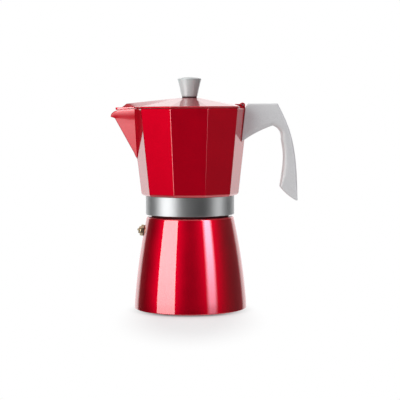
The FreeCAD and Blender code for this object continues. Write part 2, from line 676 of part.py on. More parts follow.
def upper_chamber():
    skirt = rod(SKIRT_RADIUS, SKIRT_BOTTOM, HEAD_BOTTOM + BOTTOM_EDGE)
    spout_outside, spout_inside = spout()
    solid = chamber_outside().fuse([skirt, spout_outside, handle_lug(), *hinge_ears()])
    solid = solid.cut(chamber_inside().fuse(spout_inside)).cut(head_underside()).fuse(head_thread())
    solid = solid.cut(cross_rod(PIN_RADIUS + PRESS_GAP, -EAR_OUTER, EAR_OUTER, HINGE_X, HINGE_Z))
    screw_hole = rod(SCREW_RADIUS + PRESS_GAP, LUG_BOTTOM, LUG_BOTTOM + SCREW_IN_LUG + CUT_PAST, SCREW_X)
    return solid.cut(screw_hole)


def collar_band():
    inner = SKIRT_RADIUS + PRESS_GAP
    outer = SKIRT_RADIUS + BAND_THICKNESS
    high = HEAD_BOTTOM - PRESS_GAP
    chamfer_in, chamfer_up = BAND_CHAMFER
    return turned_outline(
        (inner, SKIRT_BOTTOM), (outer - chamfer_in, SKIRT_BOTTOM), (outer, SKIRT_BOTTOM + chamfer_up),
        (outer, high), (inner, high),
    )


def coffee_column():
    plug = COLUMN_PLUG_RADIUS - PRESS_GAP
    low = BOSS_TOP - COLUMN_PLUG_LENGTH
    bore_top = COLUMN_TOP - COLUMN_CAP
    crown_low = (COLUMN_TIP_RADIUS, COLUMN_TOP - COLUMN_CROWN)
    crown_high = (COLUMN_TIP_RADIUS - COLUMN_CROWN, COLUMN_TOP)
    column = turned([
        *lines((COLUMN_BORE, bore_top), (COLUMN_BORE, low), (plug, low), (plug, BOSS_TOP),
               (COLUMN_FOOT_RADIUS, BOSS_TOP), crown_low),
        rounded_corner((COLUMN_TIP_RADIUS, COLUMN_TOP), crown_low, crown_high),
        *lines(crown_high, (0, COLUMN_TOP), (0, bore_top), (COLUMN_BORE, bore_top)),
    ])
    half = WINDOW_WIDTH / 2
    window_low = (-half, -COLUMN_FOOT_RADIUS, bore_top - WINDOW_HEIGHT)
    return column.cut(block(window_low, (half, COLUMN_FOOT_RADIUS, bore_top)))


def lid_plate():
    """Flat plate in the lid's outline, with the beak over the spout."""
    meet_x = facet_x(BEAK_HALF_WIDTH, LID_RADIUS)
    corners = polygon_corners(SIDES, LID_RADIUS, LID_BOTTOM)
    beak = [
        point(-meet_x, BEAK_HALF_WIDTH, LID_BOTTOM),
        point(-LID_RADIUS - BEAK_REACH, 0, LID_BOTTOM),
        point(-meet_x, -BEAK_HALF_WIDTH, LID_BOTTOM),
    ]
    front = SIDES // 2
    return upright([*corners[:front], *beak, *corners[front + 1:]], LID_EDGE)


def lid_roof(inset, drop):
    """Shallow pyramid with a ridge over the beak, moved in from its edge and down from its top."""
    rim = LID_RADIUS - LID_BRIM - inset
    base = LID_BRIM_TOP - drop
    half = BEAK_HALF_WIDTH - inset
    side_x = -facet_x(half, rim)
    peak = point(-PEAK_RADIUS, 0, PEAK_HEIGHT - drop)
    under = point(-PEAK_RADIUS, 0, base)
    ridge = point(-LID_RADIUS - RIDGE_REACH + inset, 0, LID_BRIM_TOP + RIDGE_RISE - drop)
    foot = point(-LID_RADIUS - RIDGE_FOOT + inset, 0, base)
    left = point(side_x, half, base)
    right = point(side_x, -half, base)
    beak = solid_of([
        [peak, ridge, left], [ridge, foot, left], [peak, left, under],
        [peak, right, ridge], [ridge, right, foot], [peak, under, right],
        [under, left, foot, right],
    ])
    return many_sided_solid((rim, base), (PEAK_RADIUS, PEAK_HEIGHT - drop)).fuse(beak)


def lid():
    inside = lid_roof(LID_WALL, LID_WALL).fuse(lid_roof(LID_WALL, LID_EDGE + LID_GAP))
    back_low = (HINGE_X - LID_BACK_GAP, -LID_RADIUS, RIM_HEIGHT)
    back = block(back_low, (2 * LID_RADIUS, LID_RADIUS, PEAK_HEIGHT))
    shell = lid_plate().fuse(lid_roof(0, 0)).cut(inside).cut(back)
    knuckle = cross_rod(KNUCKLE_RADIUS, -KNUCKLE_HALF, KNUCKLE_HALF, HINGE_X, HINGE_Z)
    tab_top = HINGE_Z + TAB_THICKNESS / 2
    tab_low = (HINGE_X - TAB_LENGTH, -KNUCKLE_HALF, tab_top - TAB_THICKNESS)
    tab = block(tab_low, (HINGE_X, KNUCKLE_HALF, tab_top))
    shell = shell.fuse([knuckle, tab])
    shell = shell.cut(cross_rod(PIN_RADIUS + PIN_GAP, -KNUCKLE_HALF, KNUCKLE_HALF, HINGE_X, HINGE_Z))
    return shell.cut(rod(KNOB_SCREW_RADIUS + SCREW_HOLE_GAP, LID_BOTTOM, PEAK_HEIGHT))


def hinge_pin():
    return cross_rod(PIN_RADIUS, -EAR_OUTER, EAR_OUTER, HINGE_X, HINGE_Z)


def from_corner(place):
    """An (out, up) place of the handle as (x, z)."""
    return RIM_RADIUS + place[0], RIM_HEIGHT + place[1]


def handle_outline():
    """Side view of the handle: a level arm, a bowed back, and a grip that hangs down."""
    back = Part.BSplineCurve()
    back.interpolate([in_xz(*from_corner(p)) for p in (ARM_END, BACK_UPPER, BACK_LOWER, TIP_OUTER)])
    bends = (
        (TIP_INNER, TIP_HOLLOW, HEEL),
        (HEEL, GRIP_MIDDLE, GRIP_TOP),
        (GRIP_TOP, CROOK_MIDDLE, CROOK_END),
        (CROOK_END, UNDERSIDE_MIDDLE, ROOT_LOW),
    )
    return [
        line(from_corner(ARM_START), from_corner(ARM_END)),
        back.toShape(),
        line(from_corner(TIP_OUTER), from_corner(TIP_INNER)),
        *[arc(*map(from_corner, places)) for places in bends],
        *lines(*map(from_corner, (ROOT_LOW, ROOT_HIGH, ARM_START))),
    ]


def handle_blank():
    """The handle before its root is cut: its side view, narrowing evenly from arm to tip."""
    top = RIM_HEIGHT + ARM_START[1]
    low = RIM_HEIGHT + TIP_OUTER[1]
    corners = [
        point(0, HANDLE_TOP_HALF, top), point(0, HANDLE_TIP_HALF, low),
        point(0, -HANDLE_TIP_HALF, low), point(0, -HANDLE_TOP_HALF, top),
    ]
    reach = 2 * (RIM_RADIUS + TIP_OUTER[0])
    taper = Part.Face(Part.makePolygon([*corners, corners[0]])).extrude(point(reach, 0, 0))
    return across(handle_outline(), HANDLE_TOP_HALF).common(taper)


def grip_edges(blank):
    """Edges along the arm, back and grip, clear of the root and of the thin tip."""
    root_x, _ = from_corner(ROOT_LOW)
    _, heel_z = from_corner(HEEL)
    found = []
    for edge in blank.Edges:
        ends = edge.Vertexes
        one_side = ends[0].Y * ends[-1].Y > 0
        clear_of_root = min(v.X for v in ends) > root_x + CUT_PAST
        clear_of_tip = max(v.Z for v in ends) > heel_z + CUT_PAST
        if one_side and clear_of_root and clear_of_tip:
            found.append(edge)
    return found


def handle():
    blank = handle_blank()
    grip = blank.makeFillet(HANDLE_ROUNDING, grip_edges(blank))
    head_way = rod(SCREW_HEAD_RADIUS + SCREW_HOLE_GAP, RIM_HEIGHT + ROOT_LOW[1], SCREW_SEAT, SCREW_X)
    screw_way = rod(SCREW_RADIUS + SCREW_HOLE_GAP, SCREW_SEAT, LUG_BOTTOM, SCREW_X)
    return grip.cut(chamber_outside(HANDLE_GAP)).cut(handle_lug(LUG_GAP)).cut(screw_way.fuse(head_way))


def cap_screw(radius, head_radius, head_height, seat, tip, x):
    """Upright screw with its head below the seat and a six-sided key socket in the head."""
    low = seat - head_height
    socket = upright(polygon_corners(6, SOCKET_RADIUS, low, x), SOCKET_DEPTH)
    return rod(radius, seat, tip, x).fuse(rod(head_radius, low, seat, x)).cut(socket)


def handle_screw():
    return cap_screw(SCREW_RADIUS, SCREW_HEAD_RADIUS, SCREW_HEAD_HEIGHT, SCREW_SEAT,
                     LUG_BOTTOM + SCREW_IN_LUG, SCREW_X)


def knob_washer():
    return tube(WASHER_RADIUS, KNOB_SCREW_RADIUS + SCREW_HOLE_GAP, PEAK_HEIGHT, KNOB_FOOT)


def lid_knob():
    edge = KNOB_FOOT + KNOB_HEIGHT
    crown = edge + KNOB_CROWN
    ball = (KNOB_TOP_RADIUS ** 2 + KNOB_CROWN ** 2) / (2 * KNOB_CROWN)
    half_turn = math.asin(KNOB_TOP_RADIUS / ball) / 2
    middle = (ball * math.sin(half_turn), crown - ball * (1 - math.cos(half_turn)))
    body = turned([
        *lines((0, crown), (0, KNOB_FOOT), (KNOB_FOOT_RADIUS, KNOB_FOOT), (KNOB_TOP_RADIUS, edge)),
        arc((KNOB_TOP_RADIUS, edge), middle, (0, crown)),
    ])
    return body.cut(rod(KNOB_SCREW_RADIUS + PRESS_GAP, KNOB_FOOT, KNOB_FOOT + KNOB_SCREW_REACH + CUT_PAST))


def knob_screw():
    return cap_screw(KNOB_SCREW_RADIUS, KNOB_SCREW_HEAD_RADIUS, KNOB_SCREW_HEAD_HEIGHT,
                     PEAK_HEIGHT - LID_WALL, KNOB_FOOT + KNOB_SCREW_REACH, 0)


PIECES = {
    "boiler": boiler,
    "valve_housing": valve_housing,
    "valve_seal": valve_seal,
    "valve_cap": valve_cap,
    "valve_plunger": valve_plunger,
    "valve_spring": valve_spring,
    "funnel_basket": funnel_basket,
    "funnel_stem": funnel_stem,
    "basket_screen": basket_screen,
    "gasket": gasket,
    "filter_plate": filter_plate,
    "upper_chamber": upper_chamber,
    "collar_band": collar_band,
    "coffee_column": coffee_column,
    "handle": handle,
    "handle_screw": handle_screw,
    "hinge_pin": hinge_pin,
    "lid": lid,
    "lid_knob": lid_knob,
    "knob_washer": knob_washer,
    "knob_screw": knob_screw,
}

os.makedirs("parts", exist_ok=True)
for name, make in PIECES.items():
    shape = make()
    shape.exportStep(f"parts/{name}.step")
    print(f"{name}: {len(shape.Solids)} solid, valid {shape.isValid()}, {shape.Volume / 1000:.2f} cm3")
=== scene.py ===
"""Moka pot: a lacquered round boiler under a ten-sided pouring head, with a plain studio round it."""

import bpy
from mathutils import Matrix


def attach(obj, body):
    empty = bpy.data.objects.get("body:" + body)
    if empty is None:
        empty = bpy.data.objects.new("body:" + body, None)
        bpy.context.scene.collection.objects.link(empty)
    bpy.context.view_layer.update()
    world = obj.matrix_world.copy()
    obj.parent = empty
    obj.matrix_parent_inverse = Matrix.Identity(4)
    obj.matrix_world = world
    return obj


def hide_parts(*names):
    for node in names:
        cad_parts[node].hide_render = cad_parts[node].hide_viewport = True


bl_info = {
    "name": "Moka Pot",
    "version": (1, 0, 0),
    "blender": (4, 5, 0),
    "location": "View3D > Sidebar > Moka Pot",
    "description": "Builds the visible pieces of a moka pot over its packed frame, and a plain studio",
    "category": "Add Mesh",
}

import math
from types import SimpleNamespace

import bmesh
import bpy
import numpy
from mathutils import Vector

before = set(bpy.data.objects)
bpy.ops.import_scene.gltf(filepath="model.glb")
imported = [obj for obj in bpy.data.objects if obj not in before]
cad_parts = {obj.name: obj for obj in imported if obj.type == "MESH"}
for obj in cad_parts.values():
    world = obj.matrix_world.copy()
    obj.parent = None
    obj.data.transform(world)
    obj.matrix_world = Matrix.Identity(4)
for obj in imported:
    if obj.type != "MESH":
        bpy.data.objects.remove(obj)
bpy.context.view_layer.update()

MM = 0.001
SIDES = 10
HALF_SIDE = math.pi / SIDES
FACET_SLOPE = math.tan(HALF_SIDE)
PRESS_GAP = 0.02  # between pieces pressed together, in millimetres
TINY = 1e-6  # keeps a division or a direction from failing
WELD = 1e-6  # places nearer than this become one, in metres
SLIVER = 1e-7  # edges shorter than this go, in metres
# The third finish is lacquer darkened as painted shade, on the neck's root and the lid's top
LACQUER, METAL, PAINTED_SHADE = 0, 1, 2  # finishes of a lacquered piece; the last is lacquer in another tone


def size(name, description, default):
    """A length property whose default is given in millimetres."""
    return bpy.props.FloatProperty(name=name, description=description, default=default * MM, min=0.0,
                                   unit="LENGTH", precision=5)


def colour(name, description, default):
    return bpy.props.FloatVectorProperty(name=name, description=description, default=default, size=3,
                                         subtype="COLOR", min=0.0, max=1.0)


def share(name, description, default):
    return bpy.props.FloatProperty(name=name, description=description, default=default, min=0.0, max=1.0,
                                   subtype="FACTOR")


def bearing(name, description, degrees):
    """An angle property whose default is given in degrees."""
    return bpy.props.FloatProperty(name=name, description=description, default=math.radians(degrees),
                                   subtype="ANGLE")


def brightness(name, description, default):
    return bpy.props.FloatProperty(name=name, description=description, default=default, min=0.0)


class BoilerSizes(bpy.types.PropertyGroup):
    base_radius: size("Base radius", "Widest radius, just above the foot", 56.3)
    side_start: size("Side start", "Height where the bowed side begins", 3.0)
    foot_rounding: size("Foot rounding", "Rounded edge between side and base", 1.0)
    shoulder_radius: size("Shoulder radius", "Top of the tapered side", 43.9)
    shoulder_height: size("Shoulder height", "Flat of the shoulder above the base", 92.2)
    shoulder_rounding: size("Shoulder rounding", "Rounded edge at the shoulder", 2.2)
    bow: size("Side bow", "How far the side swells out of a straight taper", 1.5)
    wall: size("Wall", "Thickness of the side", 3.2)
    floor: size("Floor", "Thickness of the base", 4.0)
    neck_radius: size("Neck radius", "Root of the neck's thread", 38.4)
    neck_top: size("Neck top", "Height of the neck's upper edge", 107.0)
    # Height of the band of painted shade, a dark dull red, at the root of the neck under the collar
    shaded_root_height: size("Root height", "Dull overspray up the root of the neck", 2.6)
    mouth_radius: size("Mouth radius", "Bore of the neck", 35.6)
    mouth_low: size("Mouth low end", "Height where the bore opens into the boiler", 90.6)


class ThreadSizes(bpy.types.PropertyGroup):
    pitch: size("Pitch", "Rise of the thread in one turn", 3.0)
    depth: size("Depth", "Height of the thread's ridge", 1.15)
    root_width: size("Root width", "Ridge's width at its foot", 1.7)
    crest_width: size("Crest width", "Ridge's width at its crest", 0.8)
    neck_start: size("Neck start", "Height of the neck's first turn", 95.6)
    skirt_start: size("Skirt start", "Height of the skirt's first turn", 97.1)
    skirt_radius: size("Skirt bore", "Threaded bore of the skirt", 39.9)


class HeadSizes(bpy.types.PropertyGroup):
    skirt_radius: size("Skirt radius", "Round skirt under the chamber", 43.2)
    skirt_bottom: size("Skirt bottom", "Lower edge of the skirt", 94.2)
    band: size("Band", "Thickness of the bright band over the skirt", 1.0)
    bottom: size("Underside", "Height of the chamber's underside", 113.0)
    bottom_edge: size("Bottom edge", "Chamfer round the chamber's lower edge", 2.2)
    waist_radius: size("Waist radius", "Corners above the lower edge", 48.67)
    rim_radius: size("Rim radius", "Corners at the rim", 58.3)
    rim_height: size("Rim height", "Height of the rim", 199.5)
    wall: size("Wall", "Thickness of the chamber's wall", 3.0)
    floor_top: size("Floor", "Height of the chamber's floor", 117.6)
    corner_rounding: size("Corner rounding", "Rounding of the upright edges", 1.3)
    rim_rounding: size("Rim rounding", "Rounding of the rim's two edges", 0.5)
    deck_reach: size("Deck", "Front edge of the solid corner under the hinge", 47.8)
    deck_depth: size("Deck depth", "Solid corner below the rim", 10.0)
    spout_tip: size("Spout tip", "Keel line at rim height, out from the axis", 81.1)
    spout_half: size("Spout half width", "Where the spout's side meets the chamber at the rim", 12.0)
    spout_depth: size("Spout depth", "Foot of the keel below the rim", 52.5)
    spout_wall: size("Spout wall", "Thickness of the spout's wall", 2.2)
    lip_tip: size("Lip tip", "Tip of the lip, out from the axis", 80.2)
    lip_half: size("Lip half width", "Half width of the lip at the chamber", 12.7)
    lip_height: size("Lip height", "Flared lip below the rim", 8.7)


class LidSizes(bpy.types.PropertyGroup):
    radius: size("Lid radius", "Corners of the lid's edge", 58.6)
    bottom: size("Lid bottom", "Height of the lid's lower edge", 199.9)
    edge: size("Edge height", "Height of the upright edge", 1.5)
    brim: size("Brim", "Flat between the edge and the roof", 0.6)
    wall: size("Wall", "Thickness of the roof", 1.8)
    corner_rounding: size("Corner rounding", "Rounding of the lid's corners", 0.8)
    peak_radius: size("Seat radius", "Flat seat of the knob", 9.6)
    peak_height: size("Seat height", "Height of the knob's seat", 210.2)
    beak_tip: size("Beak tip", "Tip of the lid over the spout, out from the axis", 74.6)
    beak_half: size("Beak half width", "Half width of the beak at the lid", 13.2)
    ridge_end: size("Ridge end", "End of the beak's ridge, out from the axis", 62.8)
    ridge_height: size("Ridge height", "Height of the ridge's end", 204.8)
    ridge_foot: size("Ridge foot", "Foot of the beak's steep end, out from the axis", 67.5)
    back: size("Back edge", "Straight back edge in front of the hinge", 48.9)
    hinge_x: size("Hinge place", "Hinge axis, out from the pot's axis", 52.6)
    hinge_z: size("Hinge height", "Height of the hinge axis", 202.6)
    knuckle_radius: size("Knuckle radius", "Lid's knuckle on the pin", 2.4)
    knuckle_half: size("Knuckle half length", "Half the knuckle's length", 4.7)
    ear_radius: size("Ear radius", "Rounded top of the chamber's two ears", 2.6)
    ear_inner: size("Ear inside", "Inner face of an ear from the middle", 5.0)
    ear_outer: size("Ear outside", "Outer face of an ear from the middle", 8.55)
    pin_radius: size("Pin radius", "Radius of the hinge pin", 1.2)


class HandleSizes(bpy.types.PropertyGroup):
    top_half: size("Half width at the arm", "Half width at the top of the arm", 12.5)
    tip_half: size("Half width at the tip", "Half width at the lower tip", 8.3)
    gap: size("Shadow gap", "Gap between handle and chamber", 0.5)
    inner_bevel: size("Inner bevel", "Width of the soft bevel along the grip's inside", 4.6)
    inner_fall: size("Inner fall", "How far the inner bevel falls towards the middle", 2.4)
    outer_bevel: size("Outer bevel", "Width of the bevel along the back", 2.6)
    outer_fall: size("Outer fall", "How far the back's bevel falls towards the middle", 1.5)
    bore_radius: size("Bore radius", "Counterbore of the handle's screw", 3.2)
    bore_place: size("Bore place", "Axis of the screw, out from the pot's axis", 59.7)
    bore_top: size("Bore top", "Height of the counterbore's end", 175.95)


class KnobSizes(bpy.types.PropertyGroup):
    foot_radius: size("Foot radius", "Lower end of the knob", 7.9)
    top_radius: size("Top radius", "Upper edge of the knob", 12.0)
    foot: size("Foot height", "Height of the knob's lower end", 211.4)
    edge: size("Edge height", "Height of the knob's upper edge", 229.1)
    crown: size("Crown height", "Highest point of the knob", 230.8)
    bore_radius: size("Bore radius", "Hole of the knob's screw", 1.75)
    bore_depth: size("Bore depth", "Depth of the screw's hole", 11.0)
    washer_radius: size("Washer radius", "Dark washer under the knob", 7.3)
    washer_height: size("Washer height", "Thickness of the washer", 1.2)


class PlateSizes(bpy.types.PropertyGroup):
    radius: size("Plate radius", "Radius of the perforated plates", 33.6)
    hole_radius: size("Hole radius", "Radius of one hole", 0.6)
    ring_step: size("Ring step", "Distance between rings of holes", 3.6)
    rings: bpy.props.IntProperty(name="Rings", description="Rings of holes in a plate", default=8, min=1)


class Finishes(bpy.types.PropertyGroup):
    lacquer: colour("Red lacquer", "Candy lacquer over the aluminium", (0.76, 0.0005, 0.021))
    aluminium: colour("Bare aluminium", "Turned and cast aluminium", (0.55, 0.56, 0.565))
    plastic: colour("Grey plastic", "Moulded handle and knob", (0.69, 0.71, 0.71))
    # A cool tint painted on the knob's flank, against the red light it catches from the lacquer
    knob: colour("Knob", "Cooler tone of the knob's flank", (0.77, 0.86, 0.855))
    rubber: colour("Black rubber", "Washer and valve seal", (0.018, 0.018, 0.02))
    silicone: colour("White silicone", "Gasket", (0.78, 0.77, 0.73))
    brass: colour("Brass", "Relief valve", (0.9, 0.74, 0.5))
    steel: colour("Steel", "Screws, pin and spring", (0.62, 0.62, 0.63))
    coat_gloss: share("Coat roughness", "Roughness of the lacquer's clear coat", 0.03)
    cast_roughness: share("Cast roughness", "Roughness of the metal under the head's lacquer", 0.58)
    spun_roughness: share("Spun roughness", "Roughness of the metal under the boiler's lacquer", 0.5)
    # Darkening of the red on the lid's upward-facing facets: painted shade
    lid_tone: share("Lid tone", "Depth of the red on the lid's upper facets", 0.6)


class StageSizes(bpy.types.PropertyGroup):
    floor_radius: size("Floor radius", "Reach of the floor under the pot", 175.0)
    floor_set_out: size("Floor set out", "Floor's centre in front of the pot's axis", 80.0)
    lamp_distance: size("Lamp distance", "Lamps round the pot from its axis", 1500.0)
    camera_distance: size("Camera distance", "Camera in front of the pot's axis", 1300.0)
    camera_height: size("Camera height", "Camera above the floor", 193.0)
    camera_side: size("Camera side step", "Camera to the right of the pot's axis", 10.0)
    camera_pitch: bearing("Camera pitch", "How far the camera looks down", 3.74)
    camera_roll: bearing("Camera roll", "Lean of the camera to its right", 0.28)
    camera_view: bearing("Field of view", "Camera's field of view", 17.49)
    left_light: brightness("Left softbox", "Brightness of the left softbox's face", 3.2)
    right_light: brightness("Right strip", "Brightness of the right strip's face", 3.4)
    boiler_light: brightness("Boiler strip", "Brightness of the strip that only the boiler sees", 5.2)
    top_light: brightness("Overhead", "Brightness of the overhead softbox's face", 0.8)
    fill: share("Fill", "Even light from all round", 0.32)


GROUPS = {
    "moka_boiler": BoilerSizes, "moka_thread": ThreadSizes, "moka_head": HeadSizes, "moka_lid": LidSizes,
    "moka_handle": HandleSizes, "moka_knob": KnobSizes, "moka_plates": PlateSizes, "moka_finishes": Finishes,
    "moka_stage": StageSizes,
}


def lengths(group):
    """The lengths of a property group in millimetres."""
    names = [p.identifier for p in group.bl_rna.properties if p.type == "FLOAT" and p.unit == "LENGTH"]
    return SimpleNamespace(**{name: getattr(group, name) / MM for name in names})


class Shell:
    """Places in millimetres and faces with their finish, gathered before they become a mesh."""

    def __init__(self):
        self.places = []
        self.faces = []
        self.finishes = []

    def ring(self, places):
        first = len(self.places)
        self.places.extend(places)
        return list(range(first, len(self.places)))

    def face(self, corners, finish=0):
        self.faces.append(tuple(corners))
        self.finishes.append(finish)

    def bridge(self, one, other, finish=0):
        for i, here in enumerate(one):
            after = (i + 1) % len(one)
            self.face((here, one[after], other[after], other[i]), finish)

    def loft(self, rings, finishes=0, closed=False, capped=False):
        """Skin over rings of equally many places; its ends may be joined (closed) or filled (capped)."""
        numbers = [self.ring(places) for places in rings]
        pairs = list(zip(numbers, numbers[1:]))
        if closed:
            pairs.append((numbers[-1], numbers[0]))
        for i, (one, other) in enumerate(pairs):
            self.bridge(one, other, finishes if isinstance(finishes, int) else finishes[i])
        if capped:
            self.face(numbers[0])
            self.face(numbers[-1])


CORNER_ROOM = 0.45  # most of a side that one rounded corner may take up
LEAST_REACH = 0.12  # least run of a rounded corner along its sides
LEAST_SPREAD = 0.35  # keeps a sharp corner from running off when an outline is moved in


def corner_arc(before, corner, after, steps):
    """Rounded corner as steps + 1 places; a straight corner gives places in line."""
    here = Vector(corner[:2])
    back = Vector(before[:2]) - here
    on = Vector(after[:2]) - here
    room = CORNER_ROOM * min(back.length, on.length)
    back.normalize()
    on.normalize()
    half = math.acos(max(-1.0, min(1.0, back.dot(on)))) / 2
    reach = min(max(corner[2] / max(math.tan(half), TINY), LEAST_REACH), room)
    start = here + back * reach
    end = here + on * reach
    weight = math.sin(half)
    arc = []
    for step in range(steps + 1):
        t = step / steps
        a, b, c = (1 - t) ** 2, 2 * weight * t * (1 - t), t * t
        arc.append((start * a + here * b + end * c) / (a + b + c))
    return arc


def soft_profile(corners, steps=4):
    """Open profile of (across, up) corners, each with an optional rounding."""
    corners = [(*c, 0.0)[:3] for c in corners]
    places = []
    for i, corner in enumerate(corners):
        if corner[2] > 0 and 0 < i < len(corners) - 1:
            places.extend(corner_arc(corners[i - 1], corner, corners[i + 1], steps))
        else:
            places.append(Vector(corner[:2]))
    return places


def soft_outline(corners, runs, steps):
    """Closed outline with rounded corners and a fixed number of places along each straight run."""
    count = len(corners)
    arcs = [corner_arc(corners[i - 1], corners[i], corners[(i + 1) % count], steps) for i in range(count)]
    places = []
    for i, arc in enumerate(arcs):
        places.extend(arc)
        start, end = arc[-1], arcs[(i + 1) % count][0]
        places.extend(start.lerp(end, n / (runs[i] + 1)) for n in range(1, runs[i] + 1))
    return places


def shifted_outline(places, distances):
    """Closed outline moved inwards, each place by its own distance along its corner's bisector."""
    count = len(places)
    area = sum(places[i - 1].cross(places[i]) for i in range(count))
    turn = 1.0 if area > 0 else -1.0
    moved = []
    for i, here in enumerate(places):
        back = (here - places[i - 1]).normalized()
        on = (places[(i + 1) % count] - here).normalized()
        along = back + on
        if along.length < TINY:
            moved.append(here.copy())
            continue
        along.normalize()
        inwards = Vector((-along.y, along.x)) * turn
        moved.append(here + inwards * distances[i] / max(LEAST_SPREAD, along.dot(on)))
    return moved


def even_angles(count, start=0.0):
    return [2 * math.pi * (n + start) / count for n in range(count)]


def upright(across, angle, up):
    return across * math.cos(angle), across * math.sin(angle), up


def prism(shell, outline, low, high, bevel):
    """Outline in the side view carried across from low to high, with bevelled edges."""
    inner = shifted_outline(outline, [bevel] * len(outline))
    levels = [(inner, low), (outline, low + bevel), (outline, high - bevel), (inner, high)]
    shell.loft([[(p.x, y, p.y) for p in places] for places, y in levels], capped=True)


def round_places(centre, radius, start, end, steps):
    """Places round a centre from one bearing to another, in degrees."""
    angles = [math.radians(start + (end - start) * n / steps) for n in range(steps + 1)]
    return [Vector((centre[0] + radius * math.cos(a), centre[1] + radius * math.sin(a))) for a in angles]


def closed_mesh(name, shell, cut=None):
    """Mesh of a shell in metres, doubles merged and facing outwards; a plane may cut its +X end off."""
    mesh = bpy.data.meshes.new(name)
    mesh.from_pydata([Vector(place) * MM for place in shell.places], [], shell.faces)
    mesh.polygons.foreach_set("material_index", shell.finishes)
    work = bmesh.new()
    work.from_mesh(mesh)
    bmesh.ops.remove_doubles(work, verts=work.verts, dist=WELD)
    bmesh.ops.dissolve_degenerate(work, edges=work.edges, dist=SLIVER)
    if cut is not None:
        everything = work.verts[:] + work.edges[:] + work.faces[:]
        found = bmesh.ops.bisect_plane(work, geom=everything, plane_co=(cut * MM, 0, 0), plane_no=(1, 0, 0),
                                       clear_outer=True)
        edges = [e for e in found["geom_cut"] if isinstance(e, bmesh.types.BMEdge)]
        bmesh.ops.holes_fill(work, edges=edges, sides=0)
    bmesh.ops.recalc_face_normals(work, faces=work.faces)
    work.to_mesh(mesh)
    work.free()
    return mesh


def turned_mesh(name, profile, finishes=0, segments=160, closed=True, place=upright):
    """Mesh of a turned shape: the profile's places swept round an axis."""
    shell = Shell()
    rings = [[place(across, angle, up) for angle in even_angles(segments)] for across, up in profile]
    shell.loft(rings, finishes, closed)
    return closed_mesh(name, shell)


def placed(name, data):
    """New object in the scene."""
    made = bpy.data.objects.new(name, data)
    bpy.context.scene.collection.objects.link(made)
    return made


def plain_copy(holder):
    """Mesh of an object with its modifiers worked in, under the object's name; the object goes."""
    made = bpy.data.meshes.new_from_object(holder.evaluated_get(bpy.context.evaluated_depsgraph_get()))
    name = holder.name
    holder.modifiers.clear()
    bpy.data.objects.remove(holder)
    made.name = name
    return made


def without(mesh, tool):
    """Mesh with the room of another closed mesh taken out of it."""
    body, cutter = (placed(part.name, part) for part in (mesh, tool))
    cut = body.modifiers.new("Bore", "BOOLEAN")
    cut.operation = "DIFFERENCE"
    cut.solver = "EXACT"
    cut.object = cutter
    made = plain_copy(body)
    bpy.data.objects.remove(cutter)
    name = mesh.name
    for part in (mesh, tool):
        bpy.data.meshes.remove(part)
    made.name = name
    return made


def piece_from(mesh, makers, body, slot, *nodes, sharp=38.0):
    """Shaded object of a mesh that rides on a body and stands for CAD nodes.

    Edges that turn by more than sharp, in degrees, are shaded as sharp ones.
    """
    if not mesh.polygons:
        raise RuntimeError(f"{mesh.name} has no faces")
    for maker in makers:
        mesh.materials.append(finish(maker))
    mesh.shade_smooth()
    mesh.set_sharp_from_angle(angle=math.radians(sharp))
    piece = placed(mesh.name, mesh)
    flat = piece.modifiers.new("Flat faces", "WEIGHTED_NORMAL")
    flat.keep_sharp = True
    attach(piece, body)
    if nodes:
        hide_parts(*nodes)


def turned_piece(name, profile, makers, body, slot, *nodes, **shape):
    """Turned shape as a finished piece."""
    piece_from(turned_mesh(name, profile, **shape), makers, body, slot, *nodes)


class Nodes:
    """A node tree being built; an input takes a value, a socket to link from, or a list of sockets."""

    def __init__(self, tree):
        self.tree = tree

    def add(self, kind, inputs=None, **settings):
        node = self.tree.nodes.new(kind)
        for name, value in settings.items():
            setattr(node, name, value)
        for name, value in (inputs or {}).items():
            self.feed(node.inputs[name], value)
        return node

    def out(self, kind, inputs=None, **settings):
        """First output of a new node."""
        return self.add(kind, inputs, **settings).outputs[0]

    def feed(self, socket, value):
        for source in value if isinstance(value, list) else [value]:
            if isinstance(source, bpy.types.NodeSocket):
                self.tree.links.new(source, socket)
            else:
                socket.default_value = source

    def calc(self, operation, *terms):
        return self.out("ShaderNodeMath", dict(enumerate(terms)), operation=operation)

    def span(self, source, start, end, low, high, kind="LINEAR"):
        """Carries a value's run from start to end over to a run from low to high."""
        inputs = {"Value": source, "From Min": start, "From Max": end, "To Min": low, "To Max": high}
        return self.out("ShaderNodeMapRange", inputs, interpolation_type=kind)

    def split(self, source):
        return self.add("ShaderNodeSeparateXYZ", {0: source}).outputs


